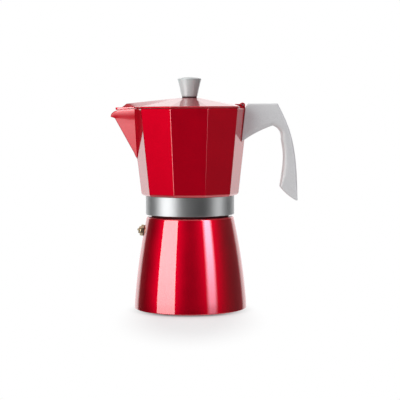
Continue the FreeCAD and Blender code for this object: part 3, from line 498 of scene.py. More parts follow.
class Finish(Nodes):
    """A material being made: its shader, and textures on Object coordinates."""

    def __init__(self, name, **values):
        self.material = bpy.data.materials.new(name)
        self.material.use_nodes = True
        super().__init__(self.material.node_tree)
        self.place = self.add("ShaderNodeTexCoord").outputs["Object"]
        self.wire(**values)

    def wire(self, **values):
        """Feeds the shader; an underscore stands for the space in an input's name."""
        shader = self.tree.nodes["Principled BSDF"]
        for name, value in values.items():
            self.feed(shader.inputs[name.replace("_", " ")], value)

    def noise(self, scale, detail=2.0, rough=0.5, stretch=None):
        place = self.place
        if stretch:
            place = self.out("ShaderNodeMapping", {"Vector": place, "Scale": stretch})
        inputs = {"Vector": place, "Scale": scale, "Detail": detail, "Roughness": rough}
        return self.out("ShaderNodeTexNoise", inputs)

    def cells(self, scale):
        """One random value for each small cell of the surface."""
        cells = self.add("ShaderNodeTexVoronoi", {"Vector": self.place, "Scale": scale})
        return self.out("ShaderNodeSeparateColor", {"Color": cells.outputs["Color"]})

    def level(self, noise, low, high, start=0.3, end=0.7):
        """Range of values for a noise, most of which lies between 0.3 and 0.7."""
        return self.span(noise, start, end, low, high)

    def blend(self, source, one, other):
        return self.add("ShaderNodeMix", {0: source, 6: one, 7: other}, data_type="RGBA").outputs[2]

    def tones(self, source, base, low, high):
        """Colour that goes from one tone of a base colour to another."""
        return self.blend(source, *((*(channel * tone for channel in base), 1.0) for tone in (low, high)))

    def bump(self, source, strength, distance):
        inputs = {"Height": source, "Strength": strength, "Distance": distance}
        self.wire(Normal=self.out("ShaderNodeBump", inputs))


def candy_coat(name, finishes, roughness, tone=1.0, coat=2.1):
    """Clear coat over a red that holds fine metal flakes, on metal of a given roughness."""
    made = Finish(name, Metallic=1.0, Coat_Weight=1.0, Coat_IOR=coat, Coat_Roughness=finishes.coat_gloss)
    made.wire(Base_Color=made.tones(made.cells(2600.0), finishes.lacquer, 0.92 * tone, 1.08 * tone),
              Roughness=made.level(made.noise(55.0, detail=3.0), roughness - 0.03, roughness + 0.03))
    return made


def red_lacquer(finishes):
    return candy_coat("glossy_red", finishes, finishes.cast_roughness)


def spun_lacquer(finishes):
    """The same lacquer over the boiler's smoother spun side."""
    return candy_coat("spun_red", finishes, finishes.spun_roughness)


def shaded_lid_lacquer(finishes):
    """The same lacquer darkened on the lid's upward-facing facets as painted shade, under a softer coat."""
    return candy_coat("lid_red", finishes, finishes.cast_roughness, finishes.lid_tone, coat=1.95)


def painted_shade_lacquer(finishes):
    """Dark, dull red painted as shade in the gap at the root of the boiler's neck, under the collar."""
    made = Finish("dull_red", Roughness=0.75)
    made.wire(Base_Color=made.tones(made.noise(120.0, detail=3.0), finishes.lacquer, 0.06, 0.1))
    return made


def turned_aluminium(finishes):
    """Fine tool marks that run round the upright axis."""
    made = Finish("turned_aluminium", Metallic=1.0, Anisotropic=0.8)
    marks = made.noise(1.0, stretch=(14.0, 14.0, 5200.0))
    made.wire(Base_Color=made.tones(marks, finishes.aluminium, 0.9, 1.0),
              Roughness=made.level(marks, 0.29, 0.35),
              Tangent=made.out("ShaderNodeTangent", direction_type="RADIAL", axis="Z"))
    return made


def cast_aluminium(finishes):
    """Bare casting inside the pot, with a fine grain and faint water marks."""
    made = Finish("cast_aluminium", Metallic=1.0)
    clouds = made.noise(38.0, detail=4.0)
    made.wire(Base_Color=made.tones(clouds, finishes.aluminium, 0.8, 0.98),
              Roughness=made.level(clouds, 0.34, 0.48))
    made.bump(made.noise(1400.0), strength=0.15, distance=0.0002)
    return made


def grey_plastic(finishes):
    """Moulded plastic with a silver tone, a fine spark-eroded grain and faint flow clouds."""
    made = Finish("satin_grey", Metallic=0.12)
    flecks = made.level(made.noise(1300.0, detail=4.0, rough=0.75), 0.0, 1.0)
    made.wire(Base_Color=made.tones(flecks, finishes.plastic, 0.88, 1.1),
              Roughness=made.level(made.noise(60.0, detail=3.0), 0.38, 0.48))
    made.bump(made.noise(1900.0), strength=0.12, distance=0.0002)
    return made


def satin_silver(finishes):
    """Silver-toned moulding of the knob with a fine grain; its flank has a cool tint painted on against the
    red light it catches from the lacquer, and its crown, greyer than its flank, is painted shade on the top.
    """
    made = Finish("satin_silver", Metallic=0.15)
    grain = made.cells(3200.0)
    # The crown takes a darker plain grey: painted shade on the top of the knob
    crown = made.span(made.split(made.place)["Z"], 0.2285, 0.2295, 0.0, 1.0)
    made.wire(Base_Color=made.blend(crown, made.tones(grain, finishes.knob, 0.84, 1.0),
                                    made.tones(grain, finishes.plastic, 0.8, 0.95)),
              Roughness=made.level(made.noise(60.0, detail=3.0), 0.33, 0.4))
    return made


def black_rubber(finishes):
    made = Finish("matt_black", Roughness=0.7)
    made.wire(Base_Color=made.tones(made.noise(240.0, detail=3.0), finishes.rubber, 0.7, 1.5))
    made.bump(made.noise(2200.0), strength=0.2, distance=0.0002)
    return made


def white_silicone(finishes):
    made = Finish("soft_white", Roughness=0.5, Subsurface_Weight=0.1, Subsurface_Scale=0.002)
    made.wire(Base_Color=made.tones(made.noise(90.0, detail=3.0), finishes.silicone, 0.94, 1.0))
    made.bump(made.noise(1500.0), strength=0.1, distance=0.0002)
    return made


def polished_brass(finishes):
    """Turned brass with darker tarnish in places."""
    made = Finish("polished_brass", Metallic=1.0)
    tarnish = made.noise(260.0, detail=4.0)
    made.wire(Base_Color=made.tones(made.level(tarnish, 0.0, 1.0, 0.35, 0.75), finishes.brass, 1.0, 0.6),
              Roughness=made.level(tarnish, 0.3, 0.45))
    made.bump(made.noise(1800.0), strength=0.08, distance=0.0001)
    return made


def bright_steel(finishes):
    made = Finish("bright_steel", Metallic=1.0)
    streaks = made.noise(1.0, detail=3.0, stretch=(700.0, 120.0, 700.0))
    made.wire(Base_Color=made.tones(streaks, finishes.steel, 0.85, 1.0),
              Roughness=made.level(streaks, 0.2, 0.36))
    made.bump(streaks, strength=0.06, distance=0.0001)
    return made


MADE = {}  # materials by the function that made them


def finish(maker):
    """The material that one of the functions above makes, made once."""
    if maker not in MADE:
        MADE[maker] = maker(bpy.context.scene.moka_finishes).material
    return MADE[maker]


SOCKETS = {int: "NodeSocketInt", float: "NodeSocketFloat", bpy.types.Material: "NodeSocketMaterial"}


class GeometryTree(Nodes):
    """A geometry node tree with named inputs, and the plain mesh that it makes."""

    def __init__(self, name):
        super().__init__(bpy.data.node_groups.new(name, "GeometryNodeTree"))
        self.name = name
        self.values = {}
        self.tree.interface.new_socket("Geometry", in_out="OUTPUT", socket_type="NodeSocketGeometry")

    def inputs(self, **values):
        """Inputs of the tree, named after the values, as sockets to link from."""
        entry = self.add("NodeGroupInput")
        sockets = SimpleNamespace()
        for key, value in values.items():
            name = key.replace("_", " ").title()
            made = self.tree.interface.new_socket(name, in_out="INPUT", socket_type=SOCKETS[type(value)])
            self.values[made.identifier] = value
            setattr(sockets, key, entry.outputs[name])
        return sockets

    def lifted(self, geometry, height):
        return self.out("GeometryNodeSetPosition", {
            "Geometry": geometry, "Offset": self.out("ShaderNodeCombineXYZ", {"Z": height})})

    def mesh(self, geometry, material):
        """Ends the tree and gives its result as a plain mesh."""
        real = self.out("GeometryNodeRealizeInstances", {"Geometry": geometry})
        coated = self.out("GeometryNodeSetMaterial", {"Geometry": real, "Material": material})
        self.add("NodeGroupOutput", {"Geometry": coated})
        holder = placed(self.name, bpy.data.meshes.new(self.name))
        modifier = holder.modifiers.new("Shape", "NODES")
        modifier.node_group = self.tree
        for identifier, value in self.values.items():
            modifier[identifier] = value
        made = plain_copy(holder)
        made.materials.clear()
        return made


RIDGE_MIDDLE = 0.46  # part of a thread's depth at which its path runs, so that its foot sinks in
THREAD_STEPS = 72  # places in one turn of a thread
HOLE_SIDES = 12
PLATE_SIDES = 128


def thread_mesh(name, radius, depth, start, turns, sizes, maker):
    """Ridge of a screw thread that winds up a cylinder, outwards or with a negative depth inwards."""
    shape = GeometryTree(name)
    at = shape.inputs(
        radius=radius * MM, depth=depth * MM, pitch=sizes.pitch * MM, turns=turns, start=start * MM,
        root_width=sizes.root_width * MM, crest_width=sizes.crest_width * MM, material=finish(maker))
    middle = shape.calc("ADD", at.radius, shape.calc("MULTIPLY", at.depth, RIDGE_MIDDLE))
    path = shape.out("GeometryNodeCurveSpiral", {
        "Rotations": at.turns, "Start Radius": middle, "End Radius": middle, "Resolution": THREAD_STEPS,
        "Height": shape.calc("MULTIPLY", at.pitch, at.turns)})
    path = shape.out("GeometryNodeSetCurveNormal", {"Curve": shape.lifted(path, at.start)}, mode="Z_UP")
    section = shape.out("GeometryNodeCurvePrimitiveQuadrilateral", {
        "Height": at.depth, "Bottom Width": at.root_width, "Top Width": at.crest_width,
        "Offset": 0.0}, mode="TRAPEZOID")
    ridge = shape.out("GeometryNodeCurveToMesh", {
        "Curve": path, "Profile Curve": section, "Fill Caps": True})
    return shape.mesh(ridge, at.material)


def perforated_mesh(name, sizes, rings, low, thickness, maker):
    """Thin round plate with rings of holes, six more in each ring outwards."""
    shape = GeometryTree(name)
    at = shape.inputs(
        radius=sizes.radius * MM, hole_radius=sizes.hole_radius * MM, ring_step=sizes.ring_step * MM,
        holes=3 * rings * (rings + 1), height=low * MM, thickness=thickness * MM, material=finish(maker))
    # The rings inside ring n hold 3 n (n - 1) holes, which gives a hole's ring from its number
    number = shape.out("GeometryNodeInputIndex")
    root = shape.calc("SQRT", shape.calc("MULTIPLY_ADD", number, 4.0 / 3.0, 1.01))
    ring = shape.calc("FLOOR", shape.calc("MULTIPLY_ADD", root, 0.5, 0.5))
    before = shape.calc("MULTIPLY", shape.calc("MULTIPLY", ring, 3.0), shape.calc("SUBTRACT", ring, 1.0))
    turn = shape.calc("DIVIDE", shape.calc("SUBTRACT", number, before), ring)
    angle = shape.calc("MULTIPLY", turn, math.pi / 3)
    reach = shape.calc("MULTIPLY", ring, at.ring_step)
    place = shape.out("ShaderNodeCombineXYZ", {
        "X": shape.calc("MULTIPLY", reach, shape.calc("COSINE", angle)),
        "Y": shape.calc("MULTIPLY", reach, shape.calc("SINE", angle))})
    points = shape.out("GeometryNodePoints", {"Count": at.holes, "Position": place})
    hole = shape.out("GeometryNodeCurvePrimitiveCircle", {
        "Radius": at.hole_radius, "Resolution": HOLE_SIDES})
    holes = shape.out("GeometryNodeInstanceOnPoints", {"Points": points, "Instance": hole})
    holes = shape.out("GeometryNodeRealizeInstances", {"Geometry": holes})
    edge = shape.out("GeometryNodeCurvePrimitiveCircle", {"Radius": at.radius, "Resolution": PLATE_SIDES})
    curves = shape.out("GeometryNodeJoinGeometry", {"Geometry": [edge, holes]})
    sheet = shape.out("GeometryNodeFillCurve", {"Curve": curves}, mode="TRIANGLES")
    raised = shape.out("GeometryNodeExtrudeMesh", {
        "Mesh": sheet, "Offset Scale": at.thickness, "Individual": False}, mode="FACES")
    below = shape.out("GeometryNodeFlipFaces", {"Mesh": sheet})
    both = shape.out("GeometryNodeJoinGeometry", {"Geometry": [raised, below]})
    whole = shape.out("GeometryNodeMergeByDistance", {"Geometry": both, "Distance": WELD})
    return shape.mesh(shape.lifted(whole, at.height), at.material)


SIDE_ROWS = 22  # rows of faces up the boiler's side
INNER_ROWS = 14  # rows of faces down the inside of its wall
INNER_TOP = 84.0  # inside of the wall from here
INNER_LOW = 10.0  # down to here
CEILING = 86.8  # height where the bore's funnel meets the wall
BASE_RING = 30.0  # row of places across the base
BASE_EDGE = 7.5  # another this far inside the foot
FLOOR_RING = 24.0  # row of places across the floor inside
NECK_ROOT = 0.4  # flat of the shoulder just outside the neck
ROOT_SOFT = 0.3  # rounding at the root of the neck
RIM_SOFT = 0.6  # outside its rim
MOUTH_SOFT = 0.4  # inside its rim
BORE_SOFT = 1.0  # at the lower end of its bore
FLOOR_SOFT = 3.0  # between the wall and the floor
NECK_TURNS = 3.0  # turns of the thread on the neck
SKIRT_TURNS = 2.5  # turns of the thread in the skirt


def boiler_side(sizes, height, inset=0.0):
    """Place on the boiler's bowed side at a height above its base, or as far inside it as an inset says."""
    low, high = sizes.side_start, sizes.shoulder_height - sizes.shoulder_rounding
    t = (height - low) / (high - low)
    straight_side = sizes.base_radius + (sizes.shoulder_radius - sizes.base_radius) * t
    return Vector((straight_side + 4 * sizes.bow * t * (1 - t) - inset, height))


class MOKA_OT_boiler(bpy.types.Operator):
    """Build the boiler with its threaded neck"""
    bl_idname = "moka_pot.boiler"
    bl_label = "Boiler"

    def execute(self, context):
        sizes = lengths(context.scene.moka_boiler)
        thread = lengths(context.scene.moka_thread)
        start, top = sizes.side_start, sizes.shoulder_height
        neck, rim, bore = sizes.neck_radius, sizes.neck_top, sizes.mouth_radius
        rise = (top - sizes.shoulder_rounding - start) / SIDE_ROWS
        rows = [boiler_side(sizes, start + rise * n) for n in range(1, SIDE_ROWS)]
        base = [Vector((across, 0.0)) for across in (0.0, BASE_RING, sizes.base_radius - BASE_EDGE)]
        foot = (sizes.base_radius - PRESS_GAP, 0.0, sizes.foot_rounding)
        shoulder = (*boiler_side(sizes, top), sizes.shoulder_rounding)
        outside = soft_profile([base[-1], foot, rows[0]], steps=8)[1:-1] + rows
        outside += soft_profile([rows[-1], shoulder, (neck + NECK_ROOT, top)], steps=8)[1:]
        root = soft_profile([outside[-1], (neck, top, ROOT_SOFT), (neck, top + sizes.shaded_root_height)])[1:]
        mouth = soft_profile([
            root[-1], (neck, rim, RIM_SOFT), (bore, rim, MOUTH_SOFT), (bore, sizes.mouth_low, BORE_SOFT),
            boiler_side(sizes, CEILING, sizes.wall)])[1:]
        fall = (INNER_TOP - INNER_LOW) / INNER_ROWS
        inside = [boiler_side(sizes, INNER_TOP - fall * n, sizes.wall) for n in range(INNER_ROWS + 1)]
        corner = (inside[-1].x, sizes.floor, FLOOR_SOFT)
        inside += soft_profile([inside[-1], corner, (FLOOR_RING, sizes.floor)])[1:]
        inside.append(Vector((0.0, sizes.floor)))
        # The root of the neck takes the darkened lacquer: painted shade in the gap under the collar
        kinds = [METAL] * len(base) + [LACQUER] * (len(outside) - 1) + [PAINTED_SHADE] * len(root)
        kinds += [METAL] * (len(mouth) + len(inside))
        turned_piece("boiler_body", base + outside + root + mouth + inside,
                     (spun_lacquer, turned_aluminium, painted_shade_lacquer), "base_unit", "red_lacquer", "boiler",
                     finishes=kinds, closed=False)
        ridge = thread_mesh("neck_thread", neck - PRESS_GAP, thread.depth, thread.neck_start, NECK_TURNS,
                            thread, turned_aluminium)
        piece_from(ridge, [turned_aluminium], "base_unit", "bare_aluminium")
        return {"FINISHED"}


# The valve's own frame, and its turned shapes as (radius, out, rounding)
VALVE_OUT = Vector((-0.982064, 0.0, 0.18855))
VALVE_SIDE = Vector((0.0, 1.0, 0.0))
VALVE_UP = VALVE_OUT.cross(VALVE_SIDE)
VALVE_SEAT = Vector((-45.89, 0.0, 77.61))
VALVE_SHANK = ((2.9, -4.4), (3.2, -5.8), (3.9, -5.8), (4.2, -5.5), (4.2, 0.8))
VALVE_HEXAGON = ((4.75, 5.0, 0.8), (5.0, 5.5, 1.05), (5.0, 5.66, 1.5), (5.0, 5.66, 3.3), (5.0, 5.45, 3.65),
                 (4.8, 4.95, 4.0))  # half across the flats, radius that cuts the corners back, out
VALVE_FACE = (2.9, 4.0)
VALVE_CAP = ((1.3, 3.2), (2.8, 3.2), (2.8, 4.0), (3.4, 4.0), (3.6, 4.15, 0.1), (3.6, 5.35, 0.2),
             (3.15, 5.8, 0.15), (1.6, 5.8, 0.1), (1.3, 5.5))
VALVE_PLUNGER = ((0.0, -4.6), (2.6, -4.6, 0.3), (2.6, -2.6, 0.3), (1.2, -2.6, 0.1), (1.2, 6.7, 0.15),
                 (0.8, 7.1, 0.15), (0.0, 7.1))
VALVE_SIDES = 72  # places round the valve
SIXTH = math.pi / 3  # angle of one side of the hexagon


def on_valve(across, angle, out):
    round_axis = VALVE_SIDE * math.cos(angle) + VALVE_UP * math.sin(angle)
    return VALVE_SEAT + VALVE_OUT * out + round_axis * across


class MOKA_OT_valve(bpy.types.Operator):
    """Build the relief valve: hexagon, cap and plunger"""
    bl_idname = "moka_pot.valve"
    bl_label = "Relief valve"

    def execute(self, context):
        angles = even_angles(VALVE_SIDES)

        def circle(radius, out):
            return [on_valve(radius, angle, out) for angle in angles]

        def hexagon(flat, limit, out):
            reach = [flat / math.cos((angle + SIXTH / 2) % SIXTH - SIXTH / 2) for angle in angles]
            return [on_valve(min(across, limit), angle, out) for across, angle in zip(reach, angles)]

        shell = Shell()
        shell.loft([*(circle(*row) for row in VALVE_SHANK), *(hexagon(*row) for row in VALVE_HEXAGON),
                    circle(*VALVE_FACE)], closed=True)
        brass = [polished_brass]
        piece_from(closed_mesh("valve_hexagon", shell), brass, "base_unit", "brass", "valve_housing",
                   sharp=28)
        turned_piece("valve_end_cap", soft_profile(VALVE_CAP), brass, "base_unit", "brass", "valve_cap",
                     segments=VALVE_SIDES, place=on_valve)
        turned_piece("valve_nib", soft_profile(VALVE_PLUNGER), brass, "relief_plunger", "brass",
                     "valve_plunger", segments=48, closed=False, place=on_valve)
        return {"FINISHED"}


BAND_CHAMFER = 0.3  # lower edge of the bright band
BAND_SOFT = 0.1  # rounding of the chamfer's corners
BAND_TOP_SOFT = 0.3  # rounding of its upper edge
BAND_START = 0.4  # first row of places inside, above the lower edge
BAND_MIDDLE = 104.0  # height of a row of places that keeps its faces short


class MOKA_OT_collar(bpy.types.Operator):
    """Build the bright band between boiler and chamber"""
    bl_idname = "moka_pot.collar"
    bl_label = "Collar band"

    def execute(self, context):
        sizes = lengths(context.scene.moka_head)
        inner, outer = sizes.skirt_radius + PRESS_GAP, sizes.skirt_radius + sizes.band
        low, high = sizes.skirt_bottom, sizes.bottom - PRESS_GAP
        profile = soft_profile([
            (inner, low + BAND_START), (inner, low, BAND_SOFT), (outer - BAND_CHAMFER, low, BAND_SOFT),
            (outer, low + BAND_CHAMFER, BAND_SOFT), (outer, BAND_MIDDLE), (outer, high, BAND_TOP_SOFT),
            (inner, high)])
        turned_piece("collar_ring", profile, [turned_aluminium], "pouring_head", "bare_aluminium",
                     "collar_band")
        return {"FINISHED"}


FRONT_RUNS = [7, 7, 7, 7, 5, 9, 9, 5, 7, 7, 7, 7]  # places along each side of a ten-sided outline
CORNER_STEPS = 5
FRONT_FIRST = 5 * (CORNER_STEPS + 1) + sum(FRONT_RUNS[:5])  # number of the front's first place
FRONT_END = 8 * (CORNER_STEPS + 1) + sum(FRONT_RUNS[:7])  # number after its last place
PLAIN_HALF = 6.0  # two places of a plain outline lie this far beside its front corner
FLUSH_HALF = 0.6  # a front with a smaller half width than this is left plain
FLUSH_START = 0.9  # there those two places begin this far beside the corner
FLUSH_RATE = 0.6  # and move out at this rate as the front sinks in


def fronted_outline(radius, half, tip, rounding, notch=1.5, tip_rounding=0.9):
    """Ten-sided outline whose corner on -X gives way to two sides that meet in a tip.

    The notch is the rounding where those sides leave the outline.
    """
    def corner(number):
        angle = 2 * HALF_SIDE * number
        return radius * math.cos(angle), radius * math.sin(angle), rounding

    meet = -radius + half * FACET_SLOPE
    corners = [corner(n) for n in range(SIDES // 2)]
    corners += [(meet, half, notch), (-tip, 0.0, tip_rounding), (meet, -half, notch)]
    corners += [corner(n) for n in range(SIDES // 2 + 1, SIDES)]
    return soft_outline(corners, FRONT_RUNS, CORNER_STEPS)


def plain_outline(radius, rounding, half=PLAIN_HALF):
    """Ten-sided outline; two of its places lie at a half width beside the corner on -X."""
    return fronted_outline(radius, half, radius, rounding, tip_rounding=rounding)


# Bearings of the places of an outline of middling size
PLAIN_ANGLES = [math.atan2(p.y, p.x) for p in plain_outline(radius=50.0, rounding=1.3)]


def round_ring(radius, height):
    """Circle with as many places as the ten-sided outlines, in step with them."""
    return [upright(radius, angle, height) for angle in PLAIN_ANGLES]


def flat_ring(outline, height):
    return [(p.x, p.y, height) for p in outline]


# The lip's falling edge as (out, height), and how its flare leaves the spout's plain side
LIP_EDGE = ((60.0, 199.5), (66.0, 199.2), (70.0, 198.6), (72.5, 197.9), (75.3, 197.0), (77.6, 195.2),
            (78.6, 193.5), (79.9, 191.3), (81.0, 191.1))
FLARE_LOW = 188.0  # height where the flare begins
FLARE_RUN = 20.0  # run beyond the edge's first place over which the flare begins higher
FLARE_LIFT = 2.0  # how much higher
FLARE_BEND = 1.6  # power that keeps the flare close to the plain side at first
LIP_LEAST = 0.2  # least height of the lip's inner face


def lip_top(out):
    """Height of the lip's falling edge at a distance out from the pot's axis."""
    return float(numpy.interp(out, *zip(*LIP_EDGE)))


class HeadShape:
    """Outlines of the chamber and its spout at any height, outside or moved in by a wall."""

    def __init__(self, sizes):
        self.sizes = sizes
        self.flare = (sizes.rim_radius - sizes.waist_radius) / (
            sizes.rim_height - sizes.bottom - sizes.bottom_edge)
        self.spout_slope = self.slope(sizes.spout_tip, sizes.spout_half)
        self.lip_slope = self.slope(sizes.lip_tip, sizes.lip_half)
        foot_radius = self.radius(sizes.rim_height - sizes.spout_depth)
        self.keel = (sizes.spout_tip - foot_radius) / sizes.spout_depth

    def slope(self, tip, half):
        """Half width of a front over its length, at rim height."""
        return half / (tip - self.sizes.rim_radius + half * FACET_SLOPE)

    def radius(self, height):
        """Corner radius of the chamber at a height."""
        return self.sizes.rim_radius - self.flare * (self.sizes.rim_height - height)

    def outline(self, height, wall, tip, slope, front_wall, **roundings):
        """Chamber at a height with a front of two sides, or plain where the front is all but flush."""
        radius = self.radius(height) - wall / math.cos(HALF_SIDE)
        tip -= front_wall / math.sin(math.atan(slope))
        half = slope * (tip - radius) / (1 - slope * FACET_SLOPE)
        rounding = self.sizes.corner_rounding
        if half < FLUSH_HALF:
            beside = FLUSH_START + FLUSH_RATE * max(0.0, radius - tip)
            return plain_outline(radius, rounding, min(PLAIN_HALF, beside))
        return fronted_outline(radius, half, tip, rounding, **roundings)

    def spout(self, height, wall=0.0, spout_wall=0.0):
        tip = self.sizes.spout_tip - self.keel * (self.sizes.rim_height - height)
        return self.outline(height, wall, tip, self.spout_slope, spout_wall)

    def spout_ring(self, height, wall=0.0, spout_wall=0.0):
        return flat_ring(self.spout(height, wall, spout_wall), height)

    def lip(self, height, wall, lip_wall):
        return self.outline(height, wall, self.sizes.lip_tip, self.lip_slope, lip_wall, tip_rounding=0.45)

    def flared_ring(self, share, inset=0.0):
        """Outer ring part of the way from the plain spout up to the lip's falling edge."""
        high = self.sizes.rim_height
        level = FLARE_LOW + share * (high - FLARE_LOW)
        start, end = self.spout(FLARE_LOW), self.spout(high)
        ring = []
        for i, p in enumerate(self.lip(level, inset, inset)):
            if not FRONT_FIRST <= i < FRONT_END:
                ring.append((p.x, p.y, level))
                continue
            out = max(0.0, min(1.0, (-p.x - LIP_EDGE[0][0]) / FLARE_RUN))
            low = FLARE_LOW + FLARE_LIFT * out
            height = low + share * (lip_top(-p.x) - low)
            plain = start[i].lerp(end[i], (height - FLARE_LOW) / (high - FLARE_LOW))
            ring.append((*plain.lerp(p, share ** FLARE_BEND), height))
        return ring

    def lip_ring(self, share, low, wall, lip_wall):
        """Ring of the lip's inside part of the way from a height up to its falling edge."""
        high = self.sizes.rim_height
        ring = []
        for i, p in enumerate(self.lip(low + share * (high - low), wall, lip_wall)):
            top = lip_top(-p.x) if FRONT_FIRST <= i < FRONT_END else high
            foot = min(low, top - LIP_LEAST)
            ring.append((p.x, p.y, foot + share * (top - foot)))
        return ring


# Rings of the chamber: outside up to the rim, then down the inside, over the boss and round the skirt
UNDERSIDE = ((46.3, 0.0), (46.9, 0.15), (48.12, 1.45), (48.52, 2.0), (48.72, 2.7))  # corner radius, up
SPOUT_LEVELS = (126.0, 136.0, 145.0, 147.0, 149.5, 152.0, 156.0, 162.0, 170.0, 178.0, 184.0)
FLARE_SHARES = ((0.0, 0.0), (0.15, 0.0), (0.3, 0.0), (0.45, 0.0), (0.6, 0.0), (0.75, 0.0), (0.86, 0.0),
                (0.872, 0.04), (0.95, 0.7), (0.965, 0.85), (0.99, 1.3),
                (1.0, 1.9))  # part of the flare's height, inset in roundings of the rim
LIP_SHARES = ((1.0, 1.0), (0.96, 0.3), (0.9, 0.0), (0.0, 0.0))  # the same for the lip's inside
LEDGE_STEP = 0.3  # fall of the ledge at the foot of the lip's inside
INNER_LEVELS = (184.0, 176.0, 168.0, 161.0, 156.0, 153.0, 151.0, 140.0, 128.0)
FLOOR_EDGE = ((0.25, 3.0), (0.0, 1.6), (-0.9, 0.45), (-2.2, 0.0))  # out from the inner corner, up
BOSS = ((30.5, 0.0), (29.0, 0.15), (27.5, 0.7), (11.4, 8.1), (10.7, 8.6), (10.5, 9.0), (10.4, 9.4),
        (10.1, 9.5), (7.2, 9.5), (7.2, 4.0))  # radius, up from the floor
SKIRT_BORE = ((29.0, 113.1), (33.9, 113.1), (33.9, 112.0), (38.7, 112.0), (38.7, 106.3),
              (39.9, 106.3))  # radius, height
SKIRT_EDGE = ((39.9, 0.3), (40.2, 0.0), (42.9, 0.0), (43.2, 0.3))  # radius, up from the lower edge
EAR_FOOT = 198.5  # height where an ear starts, inside the casting
EAR_BEVEL = 0.35
LUG = ((53.0, 178.0), (66.0, 178.0), (66.0, 193.0), (53.0, 193.0))
LUG_HALF = 5.5
LUG_BEVEL = 0.4


class MOKA_OT_chamber(bpy.types.Operator):
    """Build the ten-sided chamber with spout, lug and hinge ears"""
    bl_idname = "moka_pot.chamber"
    bl_label = "Upper chamber"

    def execute(self, context):
        sizes = lengths(context.scene.moka_head)
        lid = lengths(context.scene.moka_lid)
        thread = lengths(context.scene.moka_thread)
        shape = HeadShape(sizes)
        rounding, edge, floor = sizes.corner_rounding, sizes.rim_rounding, sizes.floor_top
        walls = (sizes.wall, sizes.spout_wall)
        outside = [round_ring(sizes.skirt_radius, sizes.bottom)]
        outside += [flat_ring(plain_outline(out, rounding), sizes.bottom + up) for out, up in UNDERSIDE]
        outside += [shape.spout_ring(height) for height in SPOUT_LEVELS]
        outside += [shape.flared_ring(share, inset * edge) for share, inset in FLARE_SHARES]
        ledge = sizes.rim_height - sizes.lip_height + sizes.spout_wall
        deck_low = sizes.rim_height - sizes.deck_depth
        fronts = [shape.lip_ring(share, ledge, *(wall - inset * edge for wall in walls))
                  for share, inset in LIP_SHARES]
        fronts += [shape.spout_ring(height, *walls) for height in (ledge - LEDGE_STEP, deck_low)]
        inside = [[(min(x, sizes.deck_reach), y, z) for x, y, z in ring] for ring in fronts]
        inside += [shape.spout_ring(height, *walls) for height in (deck_low, *INNER_LEVELS)]
        corner = shape.radius(floor) - sizes.wall / math.cos(HALF_SIDE)
        inside += [flat_ring(plain_outline(corner + out, rounding), floor + up) for out, up in FLOOR_EDGE]
        inside += [round_ring(radius, floor + up) for radius, up in BOSS]
        inside += [round_ring(*row) for row in SKIRT_BORE]
        inside += [round_ring(radius, sizes.skirt_bottom + up) for radius, up in SKIRT_EDGE]
        shell = Shell()
        shell.loft(outside + inside, [LACQUER] * len(outside) + [METAL] * len(inside), closed=True)
        arch = round_places((lid.hinge_x, lid.hinge_z), lid.ear_radius, start=0.0, end=180.0, steps=20)
        ear = [Vector((arch[0].x, EAR_FOOT)), *arch, Vector((arch[-1].x, EAR_FOOT))]
        prism(shell, ear, lid.ear_inner, lid.ear_outer, EAR_BEVEL)
        prism(shell, ear, -lid.ear_outer, -lid.ear_inner, EAR_BEVEL)
        prism(shell, [Vector(p) for p in LUG], -LUG_HALF, LUG_HALF, LUG_BEVEL)
        piece_from(closed_mesh("chamber_body", shell), [red_lacquer, cast_aluminium], "pouring_head",
                   "red_lacquer", "upper_chamber")
        ridge = thread_mesh("skirt_thread", thread.skirt_radius + PRESS_GAP, -thread.depth,
                            thread.skirt_start, SKIRT_TURNS, thread, cast_aluminium)
        piece_from(ridge, [cast_aluminium], "pouring_head", "bare_aluminium")
        return {"FINISHED"}


# The coffee column as (radius, height), its taper as heights and the radii there, and its windows
COLUMN_SIDES = 96  # places round the column
COLUMN_BORE = 4.6
COLUMN_FOOT = ((4.6, 121.6), (7.0, 121.6), (7.18, 121.8), (7.18, 127.1), (8.4, 127.1), (8.6, 127.3))
COLUMN_TAPER = ((127.1, 185.1), (8.6, 5.8))
COLUMN_ROWS = (127.6, 140.0, 155.0, 170.0)
COLUMN_CAP = ((5.8, 185.1), (5.75, 188.0, 2.8), (0.0, 188.0))
WINDOW_ROWS = (178.0, 180.0, 182.5, 185.0)
WINDOW_SHARE = 3.5 / 5.4  # half width of a window over the column's radius there


